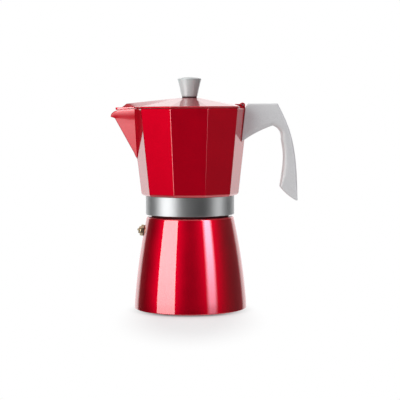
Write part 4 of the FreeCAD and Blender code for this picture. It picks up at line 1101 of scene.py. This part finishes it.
class MOKA_OT_column(bpy.types.Operator):
    """Build the coffee column with its two side windows"""
    bl_idname = "moka_pot.column"
    bl_label = "Coffee column"

    def execute(self, context):
        angles = even_angles(COLUMN_SIDES, 0.5)
        rows = COLUMN_ROWS + WINDOW_ROWS
        levels = [*COLUMN_FOOT, *((float(numpy.interp(z, *COLUMN_TAPER)), z) for z in rows)]
        levels += soft_profile(COLUMN_CAP, steps=7)[1:]
        levels += [(0.0, rows[-1]), *((COLUMN_BORE, z) for z in reversed(rows))]
        shell = Shell()
        numbers = [shell.ring([upright(radius, angle, z) for angle in angles]) for radius, z in levels]
        first = len(COLUMN_FOOT) + len(COLUMN_ROWS)
        outside = numbers[first:first + len(WINDOW_ROWS)]
        last = len(levels) - len(COLUMN_ROWS)
        inside = numbers[last - len(WINDOW_ROWS):last][::-1]
        window = [n for n, angle in enumerate(angles) if abs(math.cos(angle)) < WINDOW_SHARE]
        for one, other in zip(numbers, numbers[1:] + numbers[:1]):
            pierced = one in outside and other in outside or one in inside and other in inside
            for n in range(len(angles)):
                m = (n + 1) % len(angles)
                if not (pierced and n in window and m in window):
                    shell.face((one[n], one[m], other[m], other[n]))
        for n in window:
            if n + 1 in window:
                for one, other in ((outside[0], inside[0]), (outside[-1], inside[-1])):
                    shell.face((one[n], one[n + 1], other[n + 1], other[n]))
            if n + 1 not in window or n - 1 not in window:
                for corners in zip(outside, outside[1:], inside[1:], inside):
                    shell.face(ring[n] for ring in corners)
        piece_from(closed_mesh("coffee_tube", shell), [cast_aluminium], "pouring_head", "bare_aluminium",
                   "coffee_column")
        return {"FINISHED"}


SCREW_HOLE = 1.9  # radius of the hole for the knob's screw in lid and washer
LID_SOFT = 0.25  # soft edges of the lid's plate
LID_OVERLAP = 61.0  # further out than this, the lid follows the lip under it
PLATE_GAP = 0.12  # between the lip and the lid's plate
PLATE_SAG = 1.1  # most that the plate sags towards the lip
TOP_SAG = 0.4  # part of that sag which shows on top
RIM_GAP = 0.4  # between the lip and the top of the hanging rim
RIM_BACK = 1.7  # hanging rim in front of the lid's back edge
HANGING_RIM = ((53.2, 10.6, 71.5, 0.0), (53.2, 10.6, 71.5, 1.5), (54.2, 11.1, 73.3, 1.5),
               (54.4, 11.2, 73.5, 0.0))  # corner radius, half width and tip of the beak, down
ROOF_EDGE = 0.4  # narrow ring at the roof's foot
ROOF_SHARES = (0.125, 0.25, 0.375, 0.5, 0.625, 0.75, 0.875, 0.99)  # parts of the way up to the seat
SEAT_EDGE = 0.5  # narrow ring round the seat
SEAT_RINGS = (7.0, 5.0)  # rings that end the facets round the screw's hole, above and below
TAB = ((45.2, 201.4), (45.2, 203.8))
TAB_BEVEL = 0.3
UPWARDS = 0.85  # a face whose normal rises more than this is an upper facet


class MOKA_OT_lid(bpy.types.Operator):
    """Build the lid with its beak and knuckle"""
    bl_idname = "moka_pot.lid"
    bl_label = "Lid"

    def execute(self, context):
        sizes = lengths(context.scene.moka_lid)
        rounding, wall = sizes.corner_rounding, sizes.wall
        low, brim, peak = sizes.bottom, sizes.bottom + sizes.edge, sizes.peak_height

        def over_lip(p, gap, most=math.inf):
            """Height of the lid's underside, lower where it reaches over the falling lip."""
            if -p.x <= LID_OVERLAP:
                return low
            return min(low, max(low - most, lip_top(-p.x) + gap))

        def edge_ring(inset, height, sag):
            """Ring of the lid's edge; the plate over the spout sags towards the lip under it."""
            radius, tip = sizes.radius - inset, sizes.beak_tip - inset
            outline = fronted_outline(radius, sizes.beak_half, tip, rounding)
            return [(p.x, p.y, height - sag * (low - over_lip(p, PLATE_GAP, PLATE_SAG))) for p in outline]

        def hanging_ring(radius, half, tip, depth):
            """Ring of the thin rim that hangs just inside the chamber's mouth and the spout."""
            outline = fronted_outline(radius, half, tip, rounding)
            return [(min(p.x, sizes.back - RIM_BACK), p.y, over_lip(p, RIM_GAP) - depth) for p in outline]

        def roof_rings(inset):
            """Rings from the roof's foot up to the seat, with the ridge over the beak."""
            radius, half = sizes.radius - sizes.brim - inset, sizes.beak_half - inset
            foot = flat_ring(fronted_outline(radius, half, sizes.ridge_foot - inset, rounding), brim - inset)
            lift = ROOF_EDGE * (peak - brim) / (radius - sizes.peak_radius)
            above = radius - ROOF_EDGE
            meet = above - half * FACET_SLOPE
            ridge = sizes.ridge_end - inset
            slope = (sizes.ridge_height - brim - lift) / (ridge - meet)
            broken = []
            for i, p in enumerate(fronted_outline(above, half, ridge, rounding, tip_rounding=0.5)):
                up = max(0.0, -p.x - meet) * slope if FRONT_FIRST <= i < FRONT_END else 0.0
                broken.append(Vector((p.x, p.y, brim - inset + lift + up)))
            seat = [Vector(p) for p in flat_ring(plain_outline(sizes.peak_radius, rounding), peak - inset)]
            return [foot, broken, *([a.lerp(b, t) for a, b in zip(broken, seat)] for t in ROOF_SHARES)]

        outside = [edge_ring(LID_SOFT, low, 1.0), edge_ring(0.0, low + LID_SOFT, 1.0),
                   edge_ring(0.0, brim - LID_SOFT, TOP_SAG), edge_ring(LID_SOFT, brim, TOP_SAG)]
        outside += roof_rings(0.0)
        outside += [flat_ring(plain_outline(sizes.peak_radius - SEAT_EDGE, rounding), peak),
                    round_ring(SEAT_RINGS[0], peak), round_ring(SCREW_HOLE, peak)]
        inside = [round_ring(SCREW_HOLE, peak - wall), round_ring(SEAT_RINGS[1], peak - wall)]
        inside += reversed(roof_rings(wall)[1:])
        inside.append(flat_ring(fronted_outline(sizes.radius - sizes.brim - wall, sizes.beak_half - wall,
                                                sizes.ridge_foot - wall, rounding), low))
        inside += [hanging_ring(*row) for row in HANGING_RIM]
        kinds = [LACQUER] * len(outside) + [METAL] * (len(inside) - 1) + [LACQUER]
        shell = Shell()
        shell.loft(outside + inside, kinds, closed=True)
        mesh = closed_mesh("lid_body", shell, cut=sizes.back)
        arch = round_places((sizes.hinge_x, sizes.hinge_z), sizes.knuckle_radius,
                            start=-150.0, end=150.0, steps=28)
        fitting = Shell()
        tab = [Vector(TAB[0]), *arch, Vector(TAB[1])]
        prism(fitting, tab, -sizes.knuckle_half, sizes.knuckle_half, TAB_BEVEL)
        knuckle = closed_mesh("lid_knuckle", fitting)
        work = bmesh.new()
        work.from_mesh(mesh)
        work.from_mesh(knuckle)
        work.to_mesh(mesh)
        work.free()
        bpy.data.meshes.remove(knuckle)
        # Upward-facing lacquer faces take the darkened lacquer: painted shade on the lid's top
        for face in mesh.polygons:
            if face.material_index == LACQUER and face.normal.z > UPWARDS:
                face.material_index = PAINTED_SHADE
        piece_from(mesh, [red_lacquer, cast_aluminium, shaded_lid_lacquer], "lid_group", "red_lacquer", "lid",
                   sharp=30)
        return {"FINISHED"}


PIN_CHAMFER = 0.3  # edge of the hinge pin's ends
PIN_SOFT = 0.2  # rounding of that chamfer's corners
PIN_PROUD = 0.05  # pin's end beyond the ear


class MOKA_OT_hinge_pin(bpy.types.Operator):
    """Build the hinge pin"""
    bl_idname = "moka_pot.hinge_pin"
    bl_label = "Hinge pin"

    def execute(self, context):
        sizes = lengths(context.scene.moka_lid)
        end, radius = sizes.ear_outer + PIN_PROUD, sizes.pin_radius

        def across(radius, angle, along):
            return sizes.hinge_x + radius * math.cos(angle), along, sizes.hinge_z + radius * math.sin(angle)

        profile = soft_profile([
            (0.0, -end), (radius - PIN_CHAMFER, -end, PIN_SOFT), (radius, -end + PIN_CHAMFER, PIN_SOFT),
            (radius, end - PIN_CHAMFER, PIN_SOFT), (radius - PIN_CHAMFER, end, PIN_SOFT), (0.0, end)])
        turned_piece("lid_pin", profile, [bright_steel], "pouring_head", "steel", "hinge_pin", segments=40,
                     closed=False, place=across)
        return {"FINISHED"}


KNOB_CHAMFER = 0.5  # edge round the knob's foot
KNOB_HOLLOW = 0.6  # sets how far the flank is hollow
KNOB_SOFT = 0.7  # rounding between flank and crown
CROWN_SHARE = 0.8  # part of the crown's radius where that rounding's far side is taken
FLANK_ROWS = 12
CROWN_ROWS = 8
WASHER_SOFT = 0.3


class MOKA_OT_knob(bpy.types.Operator):
    """Build the knob on its dark washer"""
    bl_idname = "moka_pot.knob"
    bl_label = "Knob and washer"

    def execute(self, context):
        sizes = lengths(context.scene.moka_knob)
        foot, edge, crown, wide = sizes.foot, sizes.edge, sizes.crown, sizes.top_radius
        start = foot + KNOB_CHAMFER
        ball = (wide ** 2 + (crown - edge) ** 2) / (2 * (crown - edge))

        def flank(t):
            radius = sizes.foot_radius + (wide - sizes.foot_radius) * t - KNOB_HOLLOW * t * (1 - t)
            return Vector((radius, start + (edge - start) * t))

        def dome(radius):
            return Vector((radius, crown - ball + math.sqrt(ball ** 2 - radius ** 2)))

        bore, flat = sizes.bore_radius, sizes.foot_radius - KNOB_CHAMFER
        profile = [Vector((across, foot)) for across in (bore, flat)]
        profile += [flank(n / FLANK_ROWS) for n in range(FLANK_ROWS)]
        reach = wide * CROWN_SHARE
        profile += soft_profile([profile[-1], (wide, edge, KNOB_SOFT), dome(reach)], steps=5)[1:]
        profile += [dome(reach * (1 - n / CROWN_ROWS)) for n in range(1, CROWN_ROWS + 1)]
        profile += [Vector((across, foot + sizes.bore_depth)) for across in (0.0, bore)]
        turned_piece("knob_body", profile, [satin_silver], "lid_group", "grey_plastic", "lid_knob",
                     segments=120)
        low, outer = foot - sizes.washer_height, sizes.washer_radius
        profile = soft_profile([(SCREW_HOLE, low), (outer, low, WASHER_SOFT), (outer, foot, WASHER_SOFT),
                                (SCREW_HOLE, foot)])
        turned_piece("washer_ring", profile, [black_rubber], "lid_group", "black_rubber", "knob_washer",
                     segments=96)
        return {"FINISHED"}


def straight(start, end, steps):
    return [Vector(start).lerp(Vector(end), n / steps) for n in range(steps + 1)]


def arc_through(start, middle, end, steps):
    """Places along the circular arc through three places."""
    a, b, c = Vector(start), Vector(middle), Vector(end)
    d = 2 * (a.x * (b.y - c.y) + b.x * (c.y - a.y) + c.x * (a.y - b.y))
    x = (a.dot(a) * (b.y - c.y) + b.dot(b) * (c.y - a.y) + c.dot(c) * (a.y - b.y)) / d
    y = (a.dot(a) * (c.x - b.x) + b.dot(b) * (a.x - c.x) + c.dot(c) * (b.x - a.x)) / d
    centre = Vector((x, y))
    first = math.atan2(a.y - y, a.x - x)

    def ahead(p):
        return (math.atan2(p.y - y, p.x - x) - first) % (2 * math.pi)

    sweep = ahead(c) if ahead(b) < ahead(c) else ahead(c) - 2 * math.pi
    angles = [first + sweep * n / steps for n in range(steps + 1)]
    return [centre + Vector((math.cos(angle), math.sin(angle))) * (a - centre).length for angle in angles]


def smooth_curve(places, steps):
    """Natural cubic through a few places, by chord length."""
    places = numpy.array(places)
    count = len(places)
    legs = numpy.diff(places, axis=0)
    gaps = numpy.hypot(*legs.T)
    along = numpy.concatenate(([0.0], numpy.cumsum(gaps)))
    slopes = legs / gaps[:, None]
    system = numpy.eye(count)
    right = numpy.zeros((count, 2))
    for i in range(1, count - 1):
        system[i, i - 1:i + 2] = gaps[i - 1], 2 * (gaps[i - 1] + gaps[i]), gaps[i]
        right[i] = 6 * (slopes[i] - slopes[i - 1])
    bends = numpy.linalg.solve(system, right)
    curve = []
    for here in numpy.linspace(0.0, along[-1], steps + 1):
        i = min(max(int(numpy.searchsorted(along, here, side="right")) - 1, 0), count - 2)
        a, b = (along[i + 1] - here) / gaps[i], (here - along[i]) / gaps[i]
        bend = ((a ** 3 - a) * bends[i] + (b ** 3 - b) * bends[i + 1]) * gaps[i] ** 2 / 6
        curve.append(Vector(a * places[i] + b * places[i + 1] + bend))
    return curve


# The handle's side view as (out, height), and its bevels as (width, fall towards the middle)
ARM = ((58.4, 204.0), (87.3, 204.0))
BACK = (ARM[1], (98.7, 178.5), (104.6, 152.0), (107.1, 107.7))
HOLLOW = ((105.6, 107.7), (97.2, 113.4), (89.9, 121.3))
GRIP = (HOLLOW[-1], (92.4, 138.0), (93.3, 154.0), (91.3, 169.0))
BEND = (GRIP[-1], (88.4, 178.9), (82.2, 182.3))
UNDER = (BEND[-1], (70.0, 177.3), (50.0, 165.2))
ROOT = (UNDER[-1], (50.0, 190.5))
HANDLE_TOP = ARM[0][1]
HANDLE_LOW = BACK[-1][1]
ARM_BEVEL = (1.4, 1.4)
BACK_BEVEL = (1.6, 1.3)
TIP_BEVEL = (0.5, 0.5)
HEEL_BEVEL = (1.6, 1.2)
ARM_END_BEVEL = (0.8, 0.7)
ROOT_BEVEL = (0.7, 0.7)
SEAT_BEVEL = (1.2, 1.2)
BEVEL_STEPS = ((1.0, 0.0), (0.62, 0.16), (0.3, 0.45), (0.1, 0.78), (0.0, 1.0))  # parts of width and fall
BACK_TURN = 40  # place of the back after which its bevel narrows to the tip
GRIP_TURN = 7  # place of the grip up to which its bevel widens
UNDER_FINE = 480  # fine places under the arm
UNDER_STEP = 20  # fine places in one of the outline's
UNDER_TURN = 360  # fine place after which the bevel narrows to the root
ROOT_ROWS = 20
SIDE_INSET = 1.0  # the root's cut is taken this far in from the handle's side
HALFWAY_CUT = 0.475  # and for the ring halfway to the middle, at this part of the half width
BORE_LOW = 160.0  # lower end of the tool that cuts the screw's bore


class MOKA_OT_handle(bpy.types.Operator):
    """Build the moulded handle"""
    bl_idname = "moka_pot.handle"
    bl_label = "Handle"

    def execute(self, context):
        sizes = lengths(context.scene.moka_handle)
        head = lengths(context.scene.moka_head)
        shape, rim = HeadShape(head), head.rim_height
        inner, outer = (sizes.inner_bevel, sizes.inner_fall), (sizes.outer_bevel, sizes.outer_fall)
        outline, bevels = [], []

        def run(places, start, end, keep_last=False):
            """Adds a run of the side view; its bevel goes evenly from a first to a last one."""
            for n, place in enumerate(places if keep_last else places[:-1]):
                outline.append(place)
                bevels.append(Vector(start).lerp(Vector(end), n / (len(places) - 1)))

        run(straight(*ARM, steps=14), ARM_BEVEL, ARM_BEVEL)
        back = smooth_curve(BACK, steps=48)
        run(back[:BACK_TURN + 1], BACK_BEVEL, outer)
        run(back[BACK_TURN:], outer, TIP_BEVEL)
        run(straight(BACK[-1], HOLLOW[0], steps=2), TIP_BEVEL, TIP_BEVEL)
        run(arc_through(*HOLLOW, steps=14), TIP_BEVEL, HEEL_BEVEL)
        grip = smooth_curve(GRIP, steps=28)
        run(grip[:GRIP_TURN + 1], HEEL_BEVEL, inner)
        run(grip[GRIP_TURN:], inner, inner)
        run(arc_through(*BEND, steps=12), inner, inner)
        under = arc_through(*UNDER, UNDER_FINE)
        under_at = len(outline)
        run(under[:UNDER_TURN + 1:UNDER_STEP], inner, inner)
        run(under[UNDER_TURN::UNDER_STEP], inner, ARM_END_BEVEL)
        root_at = len(outline)
        run(straight(*ROOT, ROOT_ROWS), ROOT_BEVEL, ROOT_BEVEL)
        (root_x, turn_z), (seat_x, _) = ROOT[1], ARM[0]
        rim_x = root_x + (seat_x - root_x) * (rim - turn_z) / (HANDLE_TOP - turn_z)
        run(straight(ROOT[1], (rim_x, rim - PRESS_GAP), steps=6), ROOT_BEVEL, ROOT_BEVEL, keep_last=True)
        run(straight((rim_x, rim + PRESS_GAP), ARM[0], steps=5), ROOT_BEVEL, SEAT_BEVEL)

        def cut_root(across):
            """Side view with its root end cut to the chamber's two sides and their shadow gap."""
            def side(height):
                return shape.radius(height) + sizes.gap / math.cos(HALF_SIDE) - across * FACET_SLOPE

            last = max(i for i, p in enumerate(under) if p.x > side(p.y))
            foot = under[last].y
            view = [Vector((max(p.x, side(p.y)), p.y)) if p.y < rim else p.copy() for p in outline]
            for n in range(root_at - under_at):
                view[under_at + n] = under[last * n // (root_at - under_at)].copy()
            for n in range(ROOT_ROWS):
                height = foot + (turn_z - foot) * n / ROOT_ROWS
                view[root_at + n] = Vector((side(height), height))
            return view

        def half_width(height):
            part = (height - HANDLE_LOW) / (HANDLE_TOP - HANDLE_LOW)
            return sizes.tip_half + (sizes.top_half - sizes.tip_half) * part

        right = []
        for width, fall in BEVEL_STEPS:
            insets = [bevel.x * width for bevel in bevels]
            moved = shifted_outline(cut_root(sizes.top_half - SIDE_INSET), insets)
            right.append([(p.x, half_width(p.y) - fall * bevel.y, p.y) for p, bevel in zip(moved, bevels)])
        right.append([(p.x, half_width(p.y) / 2, p.y) for p in cut_root(sizes.top_half * HALFWAY_CUT)])
        middle = [(p.x, 0.0, p.y) for p in cut_root(0.0)]
        left = [[(x, -y, z) for x, y, z in ring] for ring in reversed(right)]
        shell = Shell()
        shell.loft([*right, middle, *left], capped=True)

        def round_screw(across, angle, up):
            return sizes.bore_place + across * math.cos(angle), across * math.sin(angle), up

        radius, end = sizes.bore_radius, sizes.bore_top
        profile = ((0.0, BORE_LOW), (radius, BORE_LOW), (radius, end), (0.0, end))
        bore = turned_mesh("screw_bore", profile, segments=48, closed=False, place=round_screw)
        mesh = without(closed_mesh("handle_grip", shell), bore)
        piece_from(mesh, [grey_plastic], "pouring_head", "grey_plastic", "handle", sharp=50)
        return {"FINISHED"}


# Funnel, its tube and the gasket as (radius, height, rounding); plates with their height and thickness
FUNNEL_CUP = ((33.9, 100.0), (33.9, 84.0, 0.3), (32.7, 84.0, 0.2), (4.8, 74.0, 1.0), (4.8, 72.8),
              (6.02, 72.8), (6.02, 68.0), (7.22, 68.0, 0.2), (7.22, 72.8, 1.0), (35.1, 82.8, 1.0),
              (35.1, 107.0, 0.4), (38.0, 107.0, 0.3), (38.0, 108.0, 0.3), (33.9, 108.0, 0.5))
FUNNEL_TUBE = ((4.8, 40.0), (4.8, 7.0, 0.3), (6.0, 7.0, 0.3), (6.0, 40.0), (6.0, 72.8, 0.2),
               (4.8, 72.8, 0.2))
GASKET = ((31.5, 110.0), (31.5, 108.0, 0.8), (38.4, 108.0, 0.8), (38.4, 112.0, 0.8), (31.5, 112.0, 0.8))
PLATES = (("screen_disc", "basket_screen", "coffee_funnel", 84.0, 0.7),
          ("filter_disc", "filter_plate", "seal_group", 112.0, 0.8))


class MOKA_OT_funnel(bpy.types.Operator):
    """Build the coffee funnel and its stem"""
    bl_idname = "moka_pot.funnel"
    bl_label = "Coffee funnel"

    def execute(self, context):
        turned_piece("funnel_cup", soft_profile(FUNNEL_CUP), [turned_aluminium], "coffee_funnel",
                     "bare_aluminium", "funnel_basket")
        turned_piece("funnel_tube", soft_profile(FUNNEL_TUBE), [turned_aluminium], "coffee_funnel",
                     "bare_aluminium", "funnel_stem", segments=72)
        return {"FINISHED"}


class MOKA_OT_plates(bpy.types.Operator):
    """Build the perforated screen and filter plate"""
    bl_idname = "moka_pot.plates"
    bl_label = "Perforated plates"

    def execute(self, context):
        group = context.scene.moka_plates
        for name, node, body, low, thickness in PLATES:
            mesh = perforated_mesh(name, lengths(group), group.rings, low, thickness, cast_aluminium)
            piece_from(mesh, [cast_aluminium], body, "bare_aluminium", node)
        return {"FINISHED"}


class MOKA_OT_gasket(bpy.types.Operator):
    """Build the silicone gasket"""
    bl_idname = "moka_pot.gasket"
    bl_label = "Gasket"

    def execute(self, context):
        turned_piece("gasket_ring", soft_profile(GASKET), [white_silicone], "seal_group", "white_silicone",
                     "gasket")
        return {"FINISHED"}


SMALL_PARTS = {"handle_screw": bright_steel, "knob_screw": bright_steel, "valve_spring": bright_steel,
               "valve_seal": black_rubber}


class MOKA_OT_small_parts(bpy.types.Operator):
    """Give the screws, spring and valve seal their finishes"""
    bl_idname = "moka_pot.small_parts"
    bl_label = "Screws, spring and seal"

    def execute(self, context):
        for node, maker in SMALL_PARTS.items():
            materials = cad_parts[node].data.materials
            if not materials:
                materials.append(None)
            for number in range(len(materials)):
                materials[number] = finish(maker)
        return {"FINISHED"}


FLOOR_SQUEEZE = 0.45  # floor's width over its depth
FLOOR_DROP = 0.0002  # floor under the pot's foot, in metres
FLOOR_EDGE_SHARE = 0.98  # part of its radius where the floor has faded to plain white
CONTACT = 0.056  # distance from the pot's axis where the foot meets the floor, in metres
# Towards the foot the floor's colour darkens and its glow drops: a painted contact shadow and dark line
PAINTED_SHADOW_END = 0.068  # where the floor's own shade ends
PAINTED_LINE_END = 0.08  # where the dark line that the camera sees ends


def floor_finish(radius, set_out):
    """White floor that keeps the pot's soft shadow, with a contact shadow painted in where the foot meets
    it.
    """
    material = bpy.data.materials.new("white_floor")
    material.use_nodes = True
    made = Nodes(material.node_tree)
    made.tree.nodes.clear()
    place = made.add("ShaderNodeTexCoord").outputs["Object"]
    axis = (0.0, set_out, 0.0)
    away = made.add("ShaderNodeVectorMath", {0: place, 1: axis}, operation="DISTANCE").outputs["Value"]
    oval = made.out("ShaderNodeMapping", {"Vector": place, "Scale": (1 / FLOOR_SQUEEZE, 1, 1)})
    reach = made.add("ShaderNodeVectorMath", {0: oval}, operation="LENGTH").outputs["Value"]
    # Painted dark line round the foot: the camera sees less glow there
    line = made.span(away, CONTACT, PAINTED_LINE_END, 0.1, 0.5)
    white = made.span(reach, 0.05, radius, line, 1.0, "SMOOTHSTEP")
    grain = made.out("ShaderNodeTexNoise", {"Vector": place, "Scale": 40.0})
    # Painted contact shadow: the floor's colour darkens towards the foot
    painted_shadow = made.span(away, CONTACT, PAINTED_SHADOW_END, 0.1, 1.0)
    tone = made.calc("MULTIPLY", made.span(grain, 0.0, 1.0, 0.86, 0.9), painted_shadow)
    seen = made.add("ShaderNodeLightPath").outputs["Is Camera Ray"]
    surface = made.out("ShaderNodeMixShader", {
        0: made.calc("MULTIPLY", seen, white), 1: made.out("ShaderNodeBsdfDiffuse", {"Color": tone}),
        2: made.out("ShaderNodeEmission")})
    made.add("ShaderNodeOutputMaterial", {"Surface": surface})
    return material


def studio_world(fill):
    """White to the camera; reflections see the white backdrop behind the pot and the dark room in front."""
    world = bpy.data.worlds.new("studio")
    world.use_nodes = True
    made = Nodes(world.node_tree)
    x, y, z = made.split(made.add("ShaderNodeTexCoord").outputs["Generated"])

    def ramp(source, start, end, low, high):
        """Brightness that goes from low to high as one part of the direction goes from start to end."""
        return made.span(source, start, end, low, high, "SMOOTHSTEP")

    def product(*terms):
        return made.calc("MULTIPLY", *terms)

    beside = product(ramp(y, -0.7, 0.3, 0.006, 0.06), ramp(x, -0.6, 0.2, 0.1, 1.0))
    higher = product(ramp(z, 0.05, 0.35, 1.0, 1.28), ramp(x, -0.3, -0.6, 1.0, 1.28))
    behind = product(ramp(y, 0.66, 0.8, 0.0, 1.1), higher)
    bounce = product(ramp(z, -0.3, -0.5, 0.0, 0.4), ramp(x, -0.3, 0.7, 0.2, 1.0))
    below = made.calc("ADD", bounce, ramp(z, -0.6, -0.9, 0.0, 0.6))
    above = made.calc("ADD", ramp(z, 0.5, 0.9, 0.0, 0.4), below)
    studio = made.calc("MAXIMUM", made.calc("ADD", beside, behind), above)
    paths = made.add("ShaderNodeLightPath").outputs
    unseen = made.span(paths["Is Glossy Ray"], 0.0, 1.0, fill, studio)
    background = made.tree.nodes["Background"].inputs
    made.feed(background["Strength"], made.span(paths["Is Camera Ray"], 0.0, 1.0, unseen, 1.0))
    made.feed(background["Color"], (1, 1, 1, 1))
    return world


WATTS = 4.0  # power of a square metre of lamp whose face has a brightness of one
LEAST_FADE = 0.001


def softbox(name, place, target, width, height, face, roll=0.0, side_fade=0.0, low_fade=0.0, low_rest=0.0,
            tint=(1.0, 1.0, 1.0), only=(), leaves_out=()):
    """Area light that faces a target, with a given brightness of its face and edges that may fade."""
    light = bpy.data.lights.new(name, "AREA")
    light.shape = "RECTANGLE"
    light.size = width
    light.size_y = height
    light.energy = face * WATTS * width * height
    light.color = tint
    light.use_nodes = True
    made = Nodes(light.node_tree)
    x, y, _ = made.split(made.add("ShaderNodeNewGeometry").outputs["Parametric"])
    level = made.span(y, 0.0, max(low_fade, LEAST_FADE), low_rest, 1.0, "SMOOTHSTEP")
    side = made.calc("PINGPONG", x, 0.5)
    level = made.span(side, 0.0, max(side_fade, LEAST_FADE), 0.0, level, "SMOOTHSTEP")
    made.feed(made.tree.nodes["Emission"].inputs["Strength"], level)
    lamp = placed(name, light)
    lamp.location = place
    lamp.rotation_euler = (Vector(target) - Vector(place)).to_track_quat("-Z", "Y").to_euler()
    lamp.rotation_euler.rotate_axis("Z", roll)
    lamp.visible_camera = False
    for names, state in ((only, "INCLUDE"), (leaves_out, "EXCLUDE")):
        if names:
            lit = bpy.data.collections.new(f"{name}_pieces")
            for piece in names:
                lit.objects.link(bpy.data.objects[piece])
            for link in lit.collection_objects:
                link.light_linking.link_state = state
            lamp.light_linking.receiver_collection = lit


# Lamps that light only the bright band: name, degrees to the right of the front, width, brightness, fade
COLLAR_LAMPS = (("collar_left", -60.0, 1.3, 2.0, 0.05), ("collar_front", 3.0, 0.9, 0.09, 0.1),
                ("collar_right", 77.0, 1.15, 1.5, 0.5))
LAMP_AIM = (0.0, 0.0, 0.12)
STRIP_HEIGHT = 1.6
STRIP_UP = 0.43  # height of the middle of the two strips


class MOKA_OT_stage(bpy.types.Operator):
    """Build the floor, lights, world and camera"""
    bl_idname = "moka_pot.stage"
    bl_label = "Stage"

    def floor(self, group):
        """Oval floor that takes the pot's shadow; reflections don't see it."""
        sizes = lengths(group)

        def on_floor(across, angle, up):
            return FLOOR_SQUEEZE * across * math.cos(angle), across * math.sin(angle), up

        profile = [(sizes.floor_radius * part, 0.0) for part in (0.0, 0.5, 1.0)]
        mesh = turned_mesh("floor", profile, segments=96, closed=False, place=on_floor)
        if mesh.polygons[0].normal.z < 0:
            mesh.flip_normals()
        mesh.materials.append(floor_finish(FLOOR_EDGE_SHARE * group.floor_radius, group.floor_set_out))
        floor = placed("floor", mesh)
        floor.location = (0.0, -group.floor_set_out, -FLOOR_DROP)
        floor.visible_glossy = False

    def lamps(self, group):
        """Softboxes round the pot and above it."""

        def beside(degrees, height, step=0.0):
            """Place at the lamps' distance, so many degrees to the right of the front."""
            turn, distance = math.radians(degrees), group.lamp_distance
            return distance * math.sin(turn) + step, -distance * math.cos(turn), height

        softbox("left_softbox", beside(-51.2, height=0.1), (0.0, 0.0, 0.1), width=1.08, height=1.9,
                face=group.left_light, low_fade=0.62, leaves_out=["collar_ring"])
        softbox("right_strip", beside(44.3, STRIP_UP, step=0.03), LAMP_AIM, width=0.64, height=STRIP_HEIGHT,
                face=group.right_light, roll=math.radians(-15.0), side_fade=0.36, low_fade=0.45,
                low_rest=0.3, tint=(1.0, 0.92, 1.0), leaves_out=["collar_ring", "knob_body", "boiler_body"])
        softbox("boiler_strip", beside(45.0, STRIP_UP), LAMP_AIM, width=0.76, height=STRIP_HEIGHT,
                face=group.boiler_light, roll=math.radians(1.0), side_fade=0.36, low_fade=0.65,
                low_rest=0.08, tint=(1.0, 0.78, 1.0), only=["boiler_body"])
        for name, degrees, width, face, fade in COLLAR_LAMPS:
            softbox(name, beside(degrees, height=0.2), LAMP_AIM, width, STRIP_HEIGHT, face, side_fade=fade,
                    only=["collar_ring"])
        softbox("overhead", (0.0, 0.1, 2.2), (0.0, 0.1, 0.0), width=2.0, height=2.0, face=group.top_light)

    def execute(self, context):
        scene = context.scene
        group = scene.moka_stage
        self.floor(group)
        scene.world = studio_world(group.fill)
        self.lamps(group)
        lens = bpy.data.cameras.new("camera")
        lens.sensor_fit = "HORIZONTAL"
        lens.angle = group.camera_view
        camera = placed("camera", lens)
        camera.location = (group.camera_side, -group.camera_distance, group.camera_height)
        camera.rotation_euler = (math.pi / 2 - group.camera_pitch, 0.0, 0.0)
        camera.rotation_euler.rotate_axis("Z", -group.camera_roll)
        scene.camera = camera
        scene.view_settings.view_transform = "Standard"
        return {"FINISHED"}


OPERATORS = (
    MOKA_OT_boiler, MOKA_OT_valve, MOKA_OT_collar, MOKA_OT_chamber, MOKA_OT_column, MOKA_OT_lid,
    MOKA_OT_hinge_pin, MOKA_OT_knob, MOKA_OT_handle, MOKA_OT_funnel, MOKA_OT_plates, MOKA_OT_gasket,
    MOKA_OT_small_parts, MOKA_OT_stage,
)


class MOKA_PT_panel(bpy.types.Panel):
    """Lists the pot's pieces and their sizes"""
    bl_label = "Moka Pot"
    bl_idname = "MOKA_PT_panel"
    bl_space_type = "VIEW_3D"
    bl_region_type = "UI"
    bl_category = "Moka Pot"

    def draw(self, context):
        for operator in OPERATORS:
            self.layout.operator(operator.bl_idname)
        for name, kind in GROUPS.items():
            box = self.layout.box()
            group = getattr(context.scene, name)
            for key in kind.__annotations__:
                box.prop(group, key)


CLASSES = (*GROUPS.values(), *OPERATORS, MOKA_PT_panel)


def register():
    for kind in CLASSES:
        bpy.utils.register_class(kind)
    for name, kind in GROUPS.items():
        setattr(bpy.types.Scene, name, bpy.props.PointerProperty(type=kind))


def unregister():
    for name in GROUPS:
        delattr(bpy.types.Scene, name)
    for kind in reversed(CLASSES):
        bpy.utils.unregister_class(kind)


def main():
    register()
    for operator in OPERATORS:
        family, name = operator.bl_idname.split(".")
        getattr(getattr(bpy.ops, family), name)()


if __name__ == "__main__":
    main()
